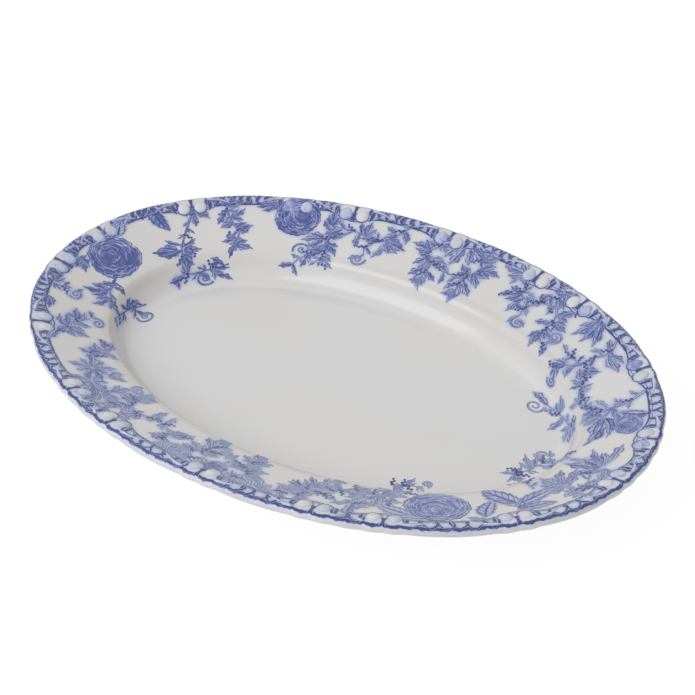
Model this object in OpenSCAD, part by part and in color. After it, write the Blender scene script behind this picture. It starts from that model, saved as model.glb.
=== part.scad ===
// Oval china serving platter with a flat well, a cove, a sloping flange and a moulded edge.
// The edge is lobed, and pairs of relief beads sit where two lobes meet.
// Origin: centre of the resting plane. X runs along the platter, Z is up. Millimetres.

/* [Platter] */
// Length over the edge
platter_l = 305; // [230:1:420]
// Width over the edge
platter_w = 215; // [170:1:320]
// Height from the resting plane to the top of the edge
platter_h = 30; // [24:0.5:45]
// Fullness of the oval, where 2 is a true ellipse
fullness = 2.05; // [2:0.05:2.6]

/* [Flange and cove] */
// Width of the flange, from the edge to the shoulder
flange_w = 37; // [26:0.5:48]
// Rise of the flange, from the shoulder to the edge
flange_rise = 11.5; // [5:0.5:16]
// Thickness of the flange
flange_t = 4.2; // [3:0.1:6]
// Width of the cove, from the shoulder to the flat floor
cove_w = 9.5; // [6:0.5:16]
// Height of the fine raised line on the shoulder
shoulder_line_h = 0.3; // [0.1:0.05:0.6]

/* [Floor and foot] */
// Thickness of the well floor
floor_t = 4.5; // [3:0.1:7]
// Height of the foot ring under the floor
foot_h = 1.8; // [1:0.1:4]
// Width of the foot ring's flat bearing face
foot_w = 4.5; // [3:0.5:8]

/* [Edge moulding] */
// Width of the moulded edge band
band_w = 7.5; // [5:0.5:12]
// Drop of the flange's surface across the band
band_drop = 1.3; // [0.5:0.1:2.5]
// Thickness of the rolled edge
edge_t = 4.4; // [3:0.1:6]
// Depth of the notches between the lobes of the outline
lobe_depth = 1.1; // [0.3:0.1:2.5]
// Places of the bead pairs, in percent of a quarter of the edge from the platter's end
bead_places = [8, 33, 60, 74.5, 100]; // [5:0.5:100]

/* [Beads and scrolls] */
// Width of a bead along the edge
bead_w = 6.2; // [4:0.1:7.5]
// Length of a bead across the band
bead_l = 8; // [6:0.1:11]
// Height of a bead above the band
bead_relief = 1.5; // [0.8:0.1:2.5]
// Distance between the two beads of a pair, centre to centre
bead_pitch = 8.8; // [7.6:0.1:10]
// Distance from the edge to a bead's centre
bead_inset = 7.2; // [6:0.1:9]
// Length of a scroll along the edge
scroll_l = 12; // [8:0.5:14]
// Width of a scroll at its fat end
scroll_w = 2.6; // [1.6:0.1:3.2]
// Height of a scroll above the band
scroll_relief = 0.8; // [0.4:0.1:1.4]

/* [Hidden] */

glaze_white = "#E9EAEC";
biscuit = "#D9D2C4";

// Stations around the oval and steps along an arc of the section
around_n = 240;
arc_n = 4;
// Clearance of the relief's seat over the curved band
seat_clear = 0.03;
// Half the space between the tips of two scrolls that meet
scroll_gap = 0.8;

// Heights and insets that follow from the sizes above
floor_z = foot_h + floor_t;
shoulder_z = platter_h - flange_rise;
join_z = platter_h - band_drop;
floor_inset = flange_w + cove_w;
foot_outer = floor_inset - 0.6 * foot_w;
foot_inner = foot_outer + foot_w;
// The cove's arc starts this far round, so that it leaves the shoulder at a slant
cove_start = 30;
// Width of the raised line on the shoulder
line_w = 1.6;
edge_r = edge_t / 2;

// ---- The oval ----

function signed_pow(v, e) = sign(v) * pow(abs(v), e);

// Point of the oval at angle t, drawn in from the edge by an inset
function oval(t, inset) = [
    (platter_l / 2 - inset) * signed_pow(cos(t), 2 / fullness),
    (platter_w / 2 - inset) * signed_pow(sin(t), 2 / fullness)
];

// Length along the edge against the oval's angle
table_n = 720;
edge_table = [
    for (i = 0, run = 0; i <= table_n;
         run = run + norm(oval((i + 1) * 360 / table_n, 0) - oval(i * 360 / table_n, 0)), i = i + 1)
    [run, i * 360 / table_n]
];
edge_len = edge_table[table_n][0];
function angle_at(run) = lookup(run - edge_len * floor(run / edge_len), edge_table);

// Unit vectors along the edge and inwards from it
function along(t) = let (d = oval(t + 0.5, 0) - oval(t - 0.5, 0)) d / norm(d);
function inwards(t) = let (d = along(t)) [-d[1], d[0]];

stations = [for (k = [0 : around_n - 1]) angle_at(k * edge_len / around_n)];

// ---- The lobed edge ----

quarter = edge_len / 4;
places = [for (p = bead_places) p / 100 * quarter];
last_place = len(places) - 1;
pair_runs = concat(
    places,
    [for (i = [last_place - 1 : -1 : 0]) 2 * quarter - places[i]],
    [for (p = places) 2 * quarter + p],
    [for (i = [last_place - 1 : -1 : 0]) 4 * quarter - places[i]]
);
pair_n = len(pair_runs);

// The pair before and after each stretch of edge, with the run carried over the closing point
function pair_run(i) = i < 0 ? pair_runs[pair_n + i] - edge_len
    : i >= pair_n ? pair_runs[i - pair_n] + edge_len : pair_runs[i];
function pairs_before(run) = len([for (p = pair_runs) if (p <= run) p]);

// How far the outline is drawn in at a place along the edge: each bead has a short lobe of its
// own, and the stretch between two pairs is one long lobe
function lobe(run) = let (
    i = pairs_before(run),
    after = run - pair_run(i - 1),
    before = pair_run(i) - run,
    near = min(after, before),
    share = near < bead_pitch ? near / bead_pitch
        : (after - bead_pitch) / (after + before - 2 * bead_pitch)
) lobe_depth * (1 - pow(sin(180 * share), 0.7));

// ---- Height of the upper surface ----

// Top of the band's section, from the outermost point of the roll to the join with the flange
band_top = concat(
    [for (k = [0 : arc_n]) let (g = 90 * k / arc_n)
        [edge_r * (1 - cos(g)), platter_h - edge_r * (1 - sin(g))]],
    [[band_w * 0.55, platter_h - band_drop * 0.45], [band_w, join_z]]
);
upper_section = concat(band_top, [[flange_w, shoulder_z]]);

// The lobes draw the roll in and leave the join where it is
function drawn_in(inset, run) = inset + lobe(run) * (1 - inset / band_w);
function undrawn(inset, run) = inset < band_w
    ? (inset - lobe(run)) / (1 - lobe(run) / band_w) : inset;
function upper_z(inset, run) = lookup(undrawn(inset, run), upper_section);

// ---- Solids ----

function flat_list(rows) = [for (row = rows) for (v = row) v];

// Closed band: one section of [inset, height] points for each station
module swept_band(sections) {
    n = len(sections);
    m = len(sections[0]);
    points = flat_list([
        for (k = [0 : n - 1]) [
            for (p = sections[k]) let (q = oval(stations[k], p[0])) [q[0], q[1], p[1]]
        ]
    ]);
    faces = flat_list([
        for (k = [0 : n - 1]) flat_list([
            for (j = [0 : m - 1]) let (
                a = k * m + j, b = k * m + (j + 1) % m,
                c = ((k + 1) % n) * m + (j + 1) % m, d = ((k + 1) % n) * m + j
            ) [[a, b, c], [a, c, d]]
        ])
    ]);
    polyhedron(points, faces, convexity = 6);
}

// Flat oval plate between two insets, or a full oval where there is no inner one
module oval_plate(outer, inner, z, h) {
    translate([0, 0, z]) linear_extrude(h) difference() {
        polygon([for (t = stations) oval(t, outer)]);
        if (inner > 0) polygon([for (t = stations) oval(t, inner)]);
    }
}

// Lump with rings of points from its top to its seat, one list of points a ring
module lump(top, rings, seat) {
    m = len(rings[0]);
    n = len(rings);
    points = concat([top], flat_list(rings), [seat]);
    last = n * m + 1;
    faces = concat(
        [for (j = [0 : m - 1]) [0, 1 + (j + 1) % m, 1 + j]],
        flat_list([
            for (k = [0 : n - 2]) flat_list([
                for (j = [0 : m - 1]) let (
                    a = 1 + k * m + j, b = 1 + k * m + (j + 1) % m, c = b + m, d = a + m
                ) [[a, b, c], [a, c, d]]
            ])
        ]),
        [for (j = [0 : m - 1]) [last, last - m + j, last - m + (j + 1) % m]]
    );
    polyhedron(points, faces, convexity = 4);
}

// Point over the edge band: length along the edge, inset from it, height over its surface
function over_band(run, inset, lift) = let (
    t = angle_at(run),
    p = oval(t, 0) + inwards(t) * inset
) [p[0], p[1], upper_z(inset, run) + lift];

// One bead: an oval dome on the band, fuller towards the flange
module bead(run) {
    bead_n = 12;
    function ring(spread, lift) = [
        for (j = [0 : bead_n - 1]) let (g = j * 360 / bead_n, fuller = 1 + 0.16 * sin(g))
        over_band(run + fuller * spread * bead_w / 2 * cos(g),
            bead_inset + spread * bead_l / 2 * sin(g), lift)
    ];
    lump(
        over_band(run, bead_inset, bead_relief),
        [
            for (g = [30 : 30 : 90]) ring(sin(g), seat_clear + (bead_relief - seat_clear) * cos(g)),
            ring(0.5, seat_clear)
        ],
        over_band(run, bead_inset, seat_clear)
    );
}

// One scroll: a tapering ridge that leaves a bead and curls in towards the flange. It stops short
// of the scroll that comes the other way, where two pairs stand close together
module scroll(i, side) {
    run = pair_runs[i];
    scroll_n = 8;
    start = bead_pitch / 2 + bead_w / 2 + 0.6;
    room = abs(pair_run(i + side) - pair_run(i)) / 2 - start - scroll_gap;
    reach = min(scroll_l, room);
    function path(f) = [run + side * (start + reach * f), edge_r + 0.4 + (band_w - edge_r - 1.6) * f * f];
    function half_w(f) = scroll_w / 2 * (0.35 + 0.65 * (1 - f)) * min(1, 0.45 + 4 * f);
    function section(f) = let (p = path(f), w = half_w(f), h = scroll_relief * (1 - 0.6 * f)) [
        over_band(p[0], p[1] - w, seat_clear),
        over_band(p[0], p[1] - 0.6 * w, h * 0.75),
        over_band(p[0], p[1], h),
        over_band(p[0], p[1] + 0.6 * w, h * 0.75),
        over_band(p[0], p[1] + w, seat_clear),
        over_band(p[0], p[1], seat_clear),
        over_band(p[0], p[1] - 0.5 * w, seat_clear)
    ];
    rings = [for (k = [0 : scroll_n]) section(k / scroll_n)];
    m = len(rings[0]);
    points = flat_list(rings);
    sides = flat_list([
        for (k = [0 : scroll_n - 1]) flat_list([
            for (j = [0 : m - 1]) let (
                a = k * m + j, b = k * m + (j + 1) % m, c = b + m, d = a + m
            ) [[a, c, b], [a, d, c]]
        ])
    ]);
    // Each end is closed by a fan from the section's crest
    crest = 2;
    caps = flat_list([
        for (j = [1 : m - 2]) let (a = (crest + j) % m, b = (crest + j + 1) % m, e = scroll_n * m)
        [[crest, a, b], [e + crest, e + b, e + a]]
    ]);
    outward = concat(sides, caps);
    polyhedron(points, side > 0 ? outward : [for (f = outward) [f[0], f[2], f[1]]], convexity = 4);
}

// ---- The pieces ----

// Flat oval floor of the well
module well_floor() {
    color(glaze_white) oval_plate(floor_inset, 0, foot_h, floor_t);
}

// Flange, shoulder and cove, in one sweep around the floor
module flange() {
    upper = [
        [band_w, join_z],
        [flange_w - 2.2 * line_w, lookup(flange_w - 2.2 * line_w, upper_section)],
        [flange_w - line_w, lookup(flange_w - line_w, upper_section) + shoulder_line_h],
        [flange_w - 0.3 * line_w, shoulder_z + 0.3 * shoulder_line_h]
    ];
    cove = [
        for (k = [1 : arc_n + 1]) let (g = cove_start + (90 - cove_start) * k / (arc_n + 1))
        [
            floor_inset - cove_w * cos(g) / cos(cove_start),
            floor_z + (shoulder_z - floor_z) * (1 - sin(g)) / (1 - sin(cove_start))
        ]
    ];
    under = [
        [floor_inset, foot_h],
        [foot_outer - 0.8, foot_h],
        [foot_outer - 4.2, foot_h + 2.6],
        [flange_w - 1.2, lookup(0.45, [[0, foot_h], [1, shoulder_z - flange_t]])],
        [flange_w - 3.6, shoulder_z - flange_t],
        [band_w, join_z - flange_t]
    ];
    section = concat(upper, cove, under);
    color(glaze_white) swept_band([for (t = stations) section]);
}

// Oval foot with a flat bearing face
module foot_ring() {
    color(biscuit) oval_plate(foot_outer, foot_inner, 0, foot_h);
}

// Rolled edge band with its lobed outline
module edge_moulding() {
    section = concat(
        band_top,
        [[band_w, join_z - flange_t]],
        [for (k = [arc_n : -1 : 1]) let (g = 90 * k / arc_n)
            [edge_r * (1 - cos(g)), platter_h - edge_r * (1 + sin(g))]]
    );
    color(glaze_white) swept_band([
        for (k = [0 : around_n - 1]) [
            for (p = section) [drawn_in(p[0], k * edge_len / around_n), p[1]]
        ]
    ]);
}

// Relief beads, two at each meeting of lobes
module edge_beads() {
    color(glaze_white) for (run = pair_runs, side = [-1, 1]) bead(run + side * bead_pitch / 2);
}

// Relief scrolls, one outside each bead
module edge_scrolls() {
    color(glaze_white) for (i = [0 : pair_n - 1], side = [-1, 1]) scroll(i, side);
}

well_floor();
flange();
foot_ring();
edge_moulding();
edge_beads();
edge_scrolls();
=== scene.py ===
"""Oval serving platter of glazed white china, with a moulded beaded edge and a blue printed border.

Lengths inside the functions are millimetres. A place on the platter is given by its run, the
distance round the edge from the +X end, and its inset from the edge or its depth, which is the
same distance measured along the surface. Every piece is a grid of points worked out by numpy.
"""
import functools
import math

import bpy
import numpy as np
from bpy.props import FloatProperty, FloatVectorProperty, PointerProperty
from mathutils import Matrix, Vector


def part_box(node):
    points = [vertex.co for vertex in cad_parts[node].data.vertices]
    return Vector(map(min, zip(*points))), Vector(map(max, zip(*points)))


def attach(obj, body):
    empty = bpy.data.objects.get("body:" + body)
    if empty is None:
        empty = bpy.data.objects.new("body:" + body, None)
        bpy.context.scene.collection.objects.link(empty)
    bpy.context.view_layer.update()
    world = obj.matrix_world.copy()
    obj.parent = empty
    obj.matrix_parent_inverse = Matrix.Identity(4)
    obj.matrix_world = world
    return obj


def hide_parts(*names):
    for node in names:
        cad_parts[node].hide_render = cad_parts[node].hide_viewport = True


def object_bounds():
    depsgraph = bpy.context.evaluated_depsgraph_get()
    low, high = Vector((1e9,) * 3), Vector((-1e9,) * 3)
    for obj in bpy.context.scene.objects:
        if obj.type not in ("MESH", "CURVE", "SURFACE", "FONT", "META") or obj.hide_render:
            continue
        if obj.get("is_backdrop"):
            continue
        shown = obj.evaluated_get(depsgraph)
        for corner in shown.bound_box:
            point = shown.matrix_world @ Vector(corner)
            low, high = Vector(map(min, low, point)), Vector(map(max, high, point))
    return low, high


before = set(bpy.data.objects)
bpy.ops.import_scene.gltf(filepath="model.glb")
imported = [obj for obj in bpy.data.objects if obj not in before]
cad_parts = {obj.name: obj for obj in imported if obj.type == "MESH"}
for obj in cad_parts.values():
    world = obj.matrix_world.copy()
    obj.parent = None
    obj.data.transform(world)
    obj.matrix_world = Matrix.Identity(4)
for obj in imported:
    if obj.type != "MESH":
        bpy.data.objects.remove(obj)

bl_info = {
    "name": "China Serving Platter",
    "version": (1, 0, 0),
    "blender": (4, 5, 0),
    "location": "View3D > Sidebar > Platter",
    "description": "Builds a glazed oval platter with a moulded edge and a printed blue border",
    "category": "Add Mesh",
}

CAD_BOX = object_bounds()
CAD_SIZE = CAD_BOX[1] - CAD_BOX[0]
EDGE_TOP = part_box("edge_moulding")[1][2]
BODY = "root"
MM = 0.001

# The studio: the place looked at in metres, then the camera's azimuth, elevation and distance
LOOKED_AT = (0.0059, -0.00015, 0.030)
VIEW = (32.6, 37.2, 0.835)
SENSOR, LENS = 36, 97.2259
FLOOR_HALF = 4 / MM
FLOOR_WHITE, FLOOR_GLOW, FLOOR_SEEN = 0.86, 1.08, 0.86
SKY, SKY_POWER = (1, 0.985, 0.97), 0.46

# Lamps: name, azimuth, elevation, distance, breadth, power, colour
LAMPS = (("key", -24, 38, 1.3, 1.0, 6.3, (0.975, 0.985, 1.0)),
         ("low", 30, 18, 1.2, 1.8, 1.3, (1, 0.98, 0.95)),
         ("fill", -75, 45, 1.6, 1.0, 1.6, (1.0, 0.985, 0.97)),
         ("back", 190, 55, 1.5, 1.2, 1.2, (0.97, 0.98, 1)))


def size(name, text, mm):
    """A length that can be set, given in millimetres and kept in metres."""
    return FloatProperty(name=name, description=text, default=mm * MM, min=0,
                         subtype="DISTANCE", unit="LENGTH", precision=5)


def tint(name, text, colour):
    """A colour that can be set."""
    return FloatVectorProperty(name=name, description=text, default=colour, size=3,
                               min=0, max=1, subtype="COLOR")


class PlatterSizes(bpy.types.PropertyGroup):
    """Sizes of the platter's clay form."""
    length: size("Length", "Length over the edge", CAD_SIZE[0] / MM)
    width: size("Width", "Width over the edge", CAD_SIZE[1] / MM)
    height: size("Height", "From the resting plane to the top of the edge", EDGE_TOP / MM)
    fullness: FloatProperty(name="Fullness", description="Fullness of the oval; 2 is an ellipse",
                            default=2.05, min=2, max=2.6)
    flange_w: size("Flange width", "From the edge to the shoulder", 37)
    flange_rise: size("Flange rise", "From the shoulder up to the edge", 11.5)
    flange_t: size("Flange thickness", "Thickness of the flange", 4.2)
    cove_w: size("Cove width", "From the shoulder to the flat floor", 9.5)
    line_h: size("Shoulder line height", "Height of the fine raised line on the shoulder", 0.14)
    floor_t: size("Floor thickness", "Thickness of the well floor", 4.5)
    foot_h: size("Foot height", "Height of the foot ring", 1.8)
    foot_w: size("Foot width", "Width of the foot ring", 4.5)
    band_w: size("Band width", "Width of the moulded edge band", 7.5)
    band_drop: size("Band drop", "Fall of the surface across the band", 1.3)
    band_step: size("Band step", "Fine step at the inner side of the band", 0.25)
    edge_t: size("Edge thickness", "Thickness of the rolled edge", 4.4)
    lobe_depth: size("Lobe depth", "Depth of the notches between the lobes", 0.7)
    bead_w: size("Bead width", "Width of a bead along the edge", 6.2)
    bead_l: size("Bead length", "Length of a bead across the band", 6.8)
    bead_relief: size("Bead relief", "Height of a bead above the band", 1.1)
    bead_pitch: size("Bead pitch", "Distance between the two beads of a pair", 8.8)
    bead_inset: size("Bead inset", "Distance from the edge to a bead's centre", 7.2)
    scroll_l: size("Scroll length", "Length of a relief scroll", 12)
    scroll_w: size("Scroll width", "Width of a scroll at its fat end", 2.6)
    scroll_relief: size("Scroll relief", "Height of a scroll above the band", 0.8)


class PlatterPrint(bpy.types.PropertyGroup):
    """Sizes of the printed border's lines."""
    film: size("Ink height", "How far the ink film stands off the clay, under the glaze", 0.09)
    lattice: size("Lattice pitch", "Distance between two points of the edge lattice", 4.4)
    line_w: size("Line width", "Width of the fine lines along the edge", 0.42)
    stem_w: size("Stem width", "Width of a main stem", 1.8)
    halo: size("Halo", "How far the blue has spread into the glaze around the print", 1.15)


class PlatterColours(bpy.types.PropertyGroup):
    """Colours of the glaze, the clay and the ink."""
    glaze: tint("Glaze", "White of the glazed body", (0.815, 0.815, 0.82))
    glaze_warm: tint("Warm glaze", "White where the glaze is thin", (0.80, 0.785, 0.76))
    # Painted shade: the darker, warmer white laid on the glaze along the shoulder and over the -X
    # end.
    glaze_pooled: tint("Pooled glaze", "White where the glaze is thick", (0.71, 0.68, 0.635))
    halo: tint("Halo", "Pale blue that has spread into the glaze", (0.40, 0.48, 0.81))
    clay: tint("Clay", "Bare clay of the foot's bearing face", (0.66, 0.60, 0.50))
    clay_dark: tint("Clay grains", "Dark grains in the bare clay", (0.47, 0.42, 0.34))
    speck: tint("Speck", "Rare specks under the glaze", (0.36, 0.31, 0.26))
    ink_dark: tint("Dark ink", "Lines and shaded parts of the print", (0.030, 0.055, 0.275))
    ink_mid: tint("Middle ink", "Filled parts of the print", (0.180, 0.240, 0.60))
    ink_pale: tint("Pale ink", "Open parts of the print", (0.53, 0.59, 0.83))


# ---- Small helpers for shapes ----

def signed_power(v, e):
    """Power of a number that keeps its sign."""
    return np.sign(v) * np.abs(v) ** e


def bell(v, reach):
    """A bell curve of the given reach, 1 in its middle."""
    return np.exp(-0.5 * (v / reach) ** 2)


def eased(corners):
    """Softens a profile given as (inset, z, reach) corners. The profile is sampled every 0.1 mm,
    and each sample becomes the mean of its neighbours, weighted by a bell of the local reach."""
    corners = np.array(corners)
    at = np.append(0, np.cumsum(np.hypot(*np.diff(corners[:, :2], axis=0).T)))
    fine = np.arange(0, at[-1], 0.1)
    inset, z, reach = (np.interp(fine, at, corners[:, k]) for k in range(3))
    weight = bell(fine[:, None] - fine[None, :], reach[:, None])
    weight /= weight.sum(1, keepdims=True)
    return weight @ inset, weight @ z


def lengths(inset, z):
    """Distance along a profile, from its first point."""
    return np.append(0, np.cumsum(np.hypot(np.diff(inset), np.diff(z))))


class Form:
    """The platter's clay form: how a run and an inset give a place on its surface."""
    PLACES = (0.08, 0.33, 0.60, 0.745, 1.0)  # bead pairs, in shares of a quarter of the edge
    NOT_LENGTHS = ("fullness",)

    def __init__(self, sizes):
        for name in sizes.__annotations__:
            value = getattr(sizes, name)
            setattr(self, name, value if name in self.NOT_LENGTHS else value / MM)
        self.edge_r = self.edge_t / 2
        self.floor_z = self.foot_h + self.floor_t
        self.shoulder_z = self.height - self.flange_rise
        self.floor_inset = self.flange_w + self.cove_w
        self.turns = np.linspace(0, 2 * np.pi, 7201)
        self.runs = lengths(*self.oval(self.turns, 0))
        self.round = self.runs[-1]
        self.find_heading()
        self.find_lobes()
        self.find_profiles()

    def oval(self, turn, inset):
        """Point of the oval: x = (L/2 - inset) cos^(2/n), y = (W/2 - inset) sin^(2/n)."""
        e = 2 / self.fullness
        return ((self.length / 2 - inset) * signed_power(np.cos(turn), e),
                (self.width / 2 - inset) * signed_power(np.sin(turn), e))

    def turn_at(self, run):
        """The oval's angle at a run."""
        return self.read(run, self.runs, self.turns)

    def find_heading(self):
        """Tables of the edge's heading and curvature against the run, lightly smoothed."""
        at = np.arange(-40, self.round + 40)
        x, y = self.oval(self.turn_at(at), 0)
        heading = np.unwrap(np.arctan2(np.gradient(y), np.gradient(x)))
        kernel = bell(np.arange(-15, 16), 5.0)
        keep = slice(20, -20)
        self.head_runs = at[keep]
        self.headings = np.convolve(heading, kernel / kernel.sum(), "same")[keep]
        self.curves = np.gradient(self.headings)

    def inward(self, run):
        """Unit vector from the edge towards the middle."""
        heading = self.read(run, self.head_runs, self.headings)
        return -np.sin(heading), np.cos(heading)

    def stretch(self, run, inset):
        """Length on the platter at an inset, for each unit of run along the edge."""
        return np.clip(1 - inset * self.read(run, self.head_runs, self.curves), 0.15, 2)

    def find_lobes(self):
        """Table of how far the outline is drawn in: each bead has a short lobe of its own, and the
        stretch between two pairs is one long lobe. A lobe is 1 - sin^0.7, a little softened."""
        quarter, pitch, step, cells = self.round / 4, self.bead_pitch, 0.1, 40
        p = np.array(self.PLACES) * quarter
        back = p[-2::-1]
        self.pairs = np.concatenate([p, 2 * quarter - back, 2 * quarter + p, 4 * quarter - back])
        ends = np.concatenate([self.pairs[-1:] - self.round, self.pairs,
                               self.pairs[:1] + self.round])
        at = np.arange(0, self.round, step)
        k = np.searchsorted(ends, at, side="right") - 1
        after, before = at - ends[k], ends[k + 1] - at
        near = np.minimum(after, before)
        long_share = (after - pitch) / (after + before - 2 * pitch)
        share = np.clip(np.where(near < pitch, near / pitch, long_share), 0, 1)
        drawn = self.lobe_depth * (1 - np.sin(np.pi * share) ** 0.7)
        kernel = bell(np.arange(-cells, cells + 1) * step, 1.1)
        wrapped = np.concatenate([drawn[-cells:], drawn, drawn[:cells]])
        drawn = np.convolve(wrapped, kernel / kernel.sum(), "valid")
        self.lobe_runs = np.append(at, self.round)
        self.lobes, self.near_table = np.append(drawn, drawn[0]), np.append(near, near[0])

    def lobe(self, run):
        """How far the outline is drawn in at a run."""
        return self.read(run, self.lobe_runs, self.lobes)

    def from_pair(self, run):
        """Distance along the edge to the nearest bead pair."""
        return self.read(run, self.lobe_runs, self.near_table)

    def drawn_in(self, inset, run):
        """Inset of a point of the band, which follows the lobed outline less and less inwards."""
        return inset + self.lobe(run) * np.clip(1 - inset / self.band_w, 0, 1)

    def undrawn(self, inset, run):
        """The inset that is drawn in to this one."""
        lobe = self.lobe(run)
        return np.where(inset < self.band_w, (inset - lobe) / (1 - lobe / self.band_w), inset)

    def find_profiles(self):
        """Upper and under side of the section, as tables of inset, height and depth."""
        r, top, w, flange, floor = (self.edge_r, self.height, self.band_w, self.flange_w,
                                    self.floor_inset)
        high, low, foot = self.shoulder_z, self.floor_z, self.foot_h
        join_z, step, line = top - self.band_drop, self.band_step, flange - 2.6
        fall = (join_z - high) / (flange - w)
        start, rise = math.radians(30), high - low
        arc = np.radians(np.linspace(0, 90, 13))
        self.top_inset, self.top_z = eased(
            [(r * (1 - math.cos(a)), top - r * (1 - math.sin(a)), 0.02) for a in arc]
            + [(0.55 * w, top - 0.30 * self.band_drop, 0.5),
               (0.88 * w, join_z + 0.12 * w * fall, 0.25),
               (1.04 * w, join_z - 0.04 * w * fall - step, 0.25),
               (0.5 * (w + flange), 0.5 * (join_z + high) - step * 0.6, 1.2),
               (line - 1.2, high + 3.8 * fall, 0.6), (line, high + 2.6 * fall + self.line_h, 0.45),
               (line + 0.9, high + 1.7 * fall, 0.7)]
            + [(floor - self.cove_w * math.cos(a) / math.cos(start),
                low + rise * (1 - math.sin(a)) / (1 - math.sin(start)), 1.7)
               for a in np.radians(np.linspace(30, 90, 9))]
            + [(floor + 4, low, 2.2), (floor + 14, low, 2)])
        self.top_depth = lengths(self.top_inset, self.top_z)
        self.under_inset, self.under_z = eased(
            [(r * (1 - math.cos(a)), top - r * (1 + math.sin(a)), 0.02) for a in arc]
            + [(w, top - self.flange_t - self.band_drop, 0.8),
               (flange - 3.6, high - self.flange_t, 1.2), (flange - 1.2, low + 1.1, 1.0),
               (flange + 2.6, foot + 2.6, 1.0), (floor - 3.5, foot, 0.6),
               (floor - 2.0, foot, 0.1), (floor + 6, foot, 0.1)])

    def height_at(self, inset):
        """Height of the upper surface."""
        return np.interp(inset, self.top_inset, self.top_z)

    def depth_of(self, inset):
        """Distance from the edge along the upper surface."""
        return np.interp(inset, self.top_inset, self.top_depth)

    def inset_of(self, depth):
        """Inset of a depth; past the table the floor goes on level."""
        beyond = np.maximum(depth - self.top_depth[-1], 0)
        return np.interp(depth, self.top_depth, self.top_inset) + beyond

    def surface(self, x, y, lift):
        """Places at a lift off the upper surface above plan points, and the normals there. The
        slope across the ovals is read off the section, and turned by the way the inset grows."""
        n, a, b = self.fullness, self.length / 2, self.width / 2
        run, plan, c, s = self.locate(x, y)
        inset, near = self.undrawn(plan, run), 0.05
        z = self.height_at(inset)
        slope = (self.height_at(inset + near) - self.height_at(inset - near)) / (2 * near)
        down = n * (c ** n / (a - plan) + s ** n / (b - plan))
        gx = -n * np.sign(x) * c ** (n - 1) / (a - plan) / down
        gy = -n * np.sign(y) * s ** (n - 1) / (b - plan) / down
        normal = np.stack([-slope * gx, -slope * gy, np.ones_like(z)], -1)
        normal /= np.linalg.norm(normal, axis=-1, keepdims=True)
        return np.stack([x, y, z], -1) + normal * np.asarray(lift)[..., None], normal

    def place(self, run, inset, lift):
        """Places at a lift off the upper surface, by run and inset."""
        x, y = self.plan(run, inset)
        return self.surface(x, y, np.broadcast_to(lift, x.shape))[0]

    def columns(self):
        """Runs of the grid's columns: every 1.2 mm, and every 0.45 mm round a bead pair."""
        step, wide, narrow = 0.15, 1.2, 0.45
        at = np.arange(0, self.round, step)
        pace = np.where(self.from_pair(at) < 1.35 * self.bead_pitch, narrow, wide)
        total = np.append(0, np.cumsum(1 / pace * step))
        count = int(total[-1])
        return np.interp(np.arange(count) / count * total[-1], total, np.append(at, self.round))

    def locate(self, x, y):
        """Run and inset of plan points on the drawn-in ovals. The inset s solves
        (|x|/(L/2-s))^n + (|y|/(W/2-s))^n = 1 by halving; also gives the two terms' bases."""
        n, a, b = self.fullness, self.length / 2, self.width / 2
        low, high, halvings = np.full(x.shape, -2.0), np.full(x.shape, b - 1), 24
        for _ in range(halvings):
            mid = (low + high) / 2
            inner = (np.abs(x) / (a - mid)) ** n + (np.abs(y) / (b - mid)) ** n < 1
            low, high = np.where(inner, mid, low), np.where(inner, high, mid)
        inset = (low + high) / 2
        c, s = np.abs(x) / (a - inset), np.abs(y) / (b - inset)
        turn = np.arctan2(np.sign(y) * s ** (n / 2), np.sign(x) * c ** (n / 2))
        return np.interp(np.mod(turn, 2 * np.pi), self.turns, self.runs), inset, c, s

    def plan(self, run, inset):
        """Plan point at a run and an inset measured square to the edge."""
        inset = self.drawn_in(inset, run)
        x, y = self.oval(self.turn_at(run), 0)
        nx, ny = self.inward(run)
        return x + nx * inset, y + ny * inset

    def spot(self, eighth, inset):
        """Run and depth of the place at an eighth of the edge, on the oval drawn in by an inset.
        The run is moved along the edge until the line square to it passes through the place."""
        run = np.asarray(eighth, float) * self.round / 8
        x, y = self.oval(self.turn_at(run), np.asarray(inset, float))
        for _ in range(5):
            edge_x, edge_y = self.oval(self.turn_at(run), 0)
            dx, dy, (nx, ny) = x - edge_x, y - edge_y, self.inward(run)
            square = dx * nx + dy * ny
            run = run + (dx * ny - dy * nx) / self.stretch(run, square)
        return run, self.depth_of(square) + np.maximum(square - self.top_inset[-1], 0)

    def eighth(self, run):
        """A run in eighths of the edge."""
        return run * 8 / self.round

    def read(self, run, runs, values):
        """A table along the edge, read at a run."""
        return np.interp(np.mod(run, self.round), runs, values)


# ---- Meshes ----

def make_mesh(name, points, quads, tris=(), normals=None, values=None, maps=None):
    """A mesh object from whole arrays: points in millimetres, faces, and for each point its
    normal, named values and named UV places."""
    mesh = bpy.data.meshes.new(name)
    mesh.from_pydata((points * MM).tolist(), [], quads.tolist() + np.asarray(tris).tolist())
    mesh.shade_smooth()
    corner = np.empty(len(mesh.loops), int)
    mesh.loops.foreach_get("vertex_index", corner)
    for key, uv in (maps or {}).items():
        layer = mesh.uv_layers.new(name=key)
        layer.uv.foreach_set("vector", uv[corner].astype(np.float32).ravel())
    for key, value in (values or {}).items():
        mesh.attributes.new(key, "FLOAT", "POINT").data.foreach_set(
            "value", value.astype(np.float32))
    if normals is not None:
        mesh.normals_split_custom_set_from_vertices(normals.tolist())
    mesh.update()
    ob = bpy.data.objects.new(name, mesh)
    bpy.context.scene.collection.objects.link(ob)
    return ob


def settle(ob, material, slot, *nodes):
    """Gives a finished piece its material and its place in the frame."""
    ob.data.materials.clear()
    ob.data.materials.append(material)
    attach(ob, BODY)
    if nodes:
        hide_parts(*nodes)


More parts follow.
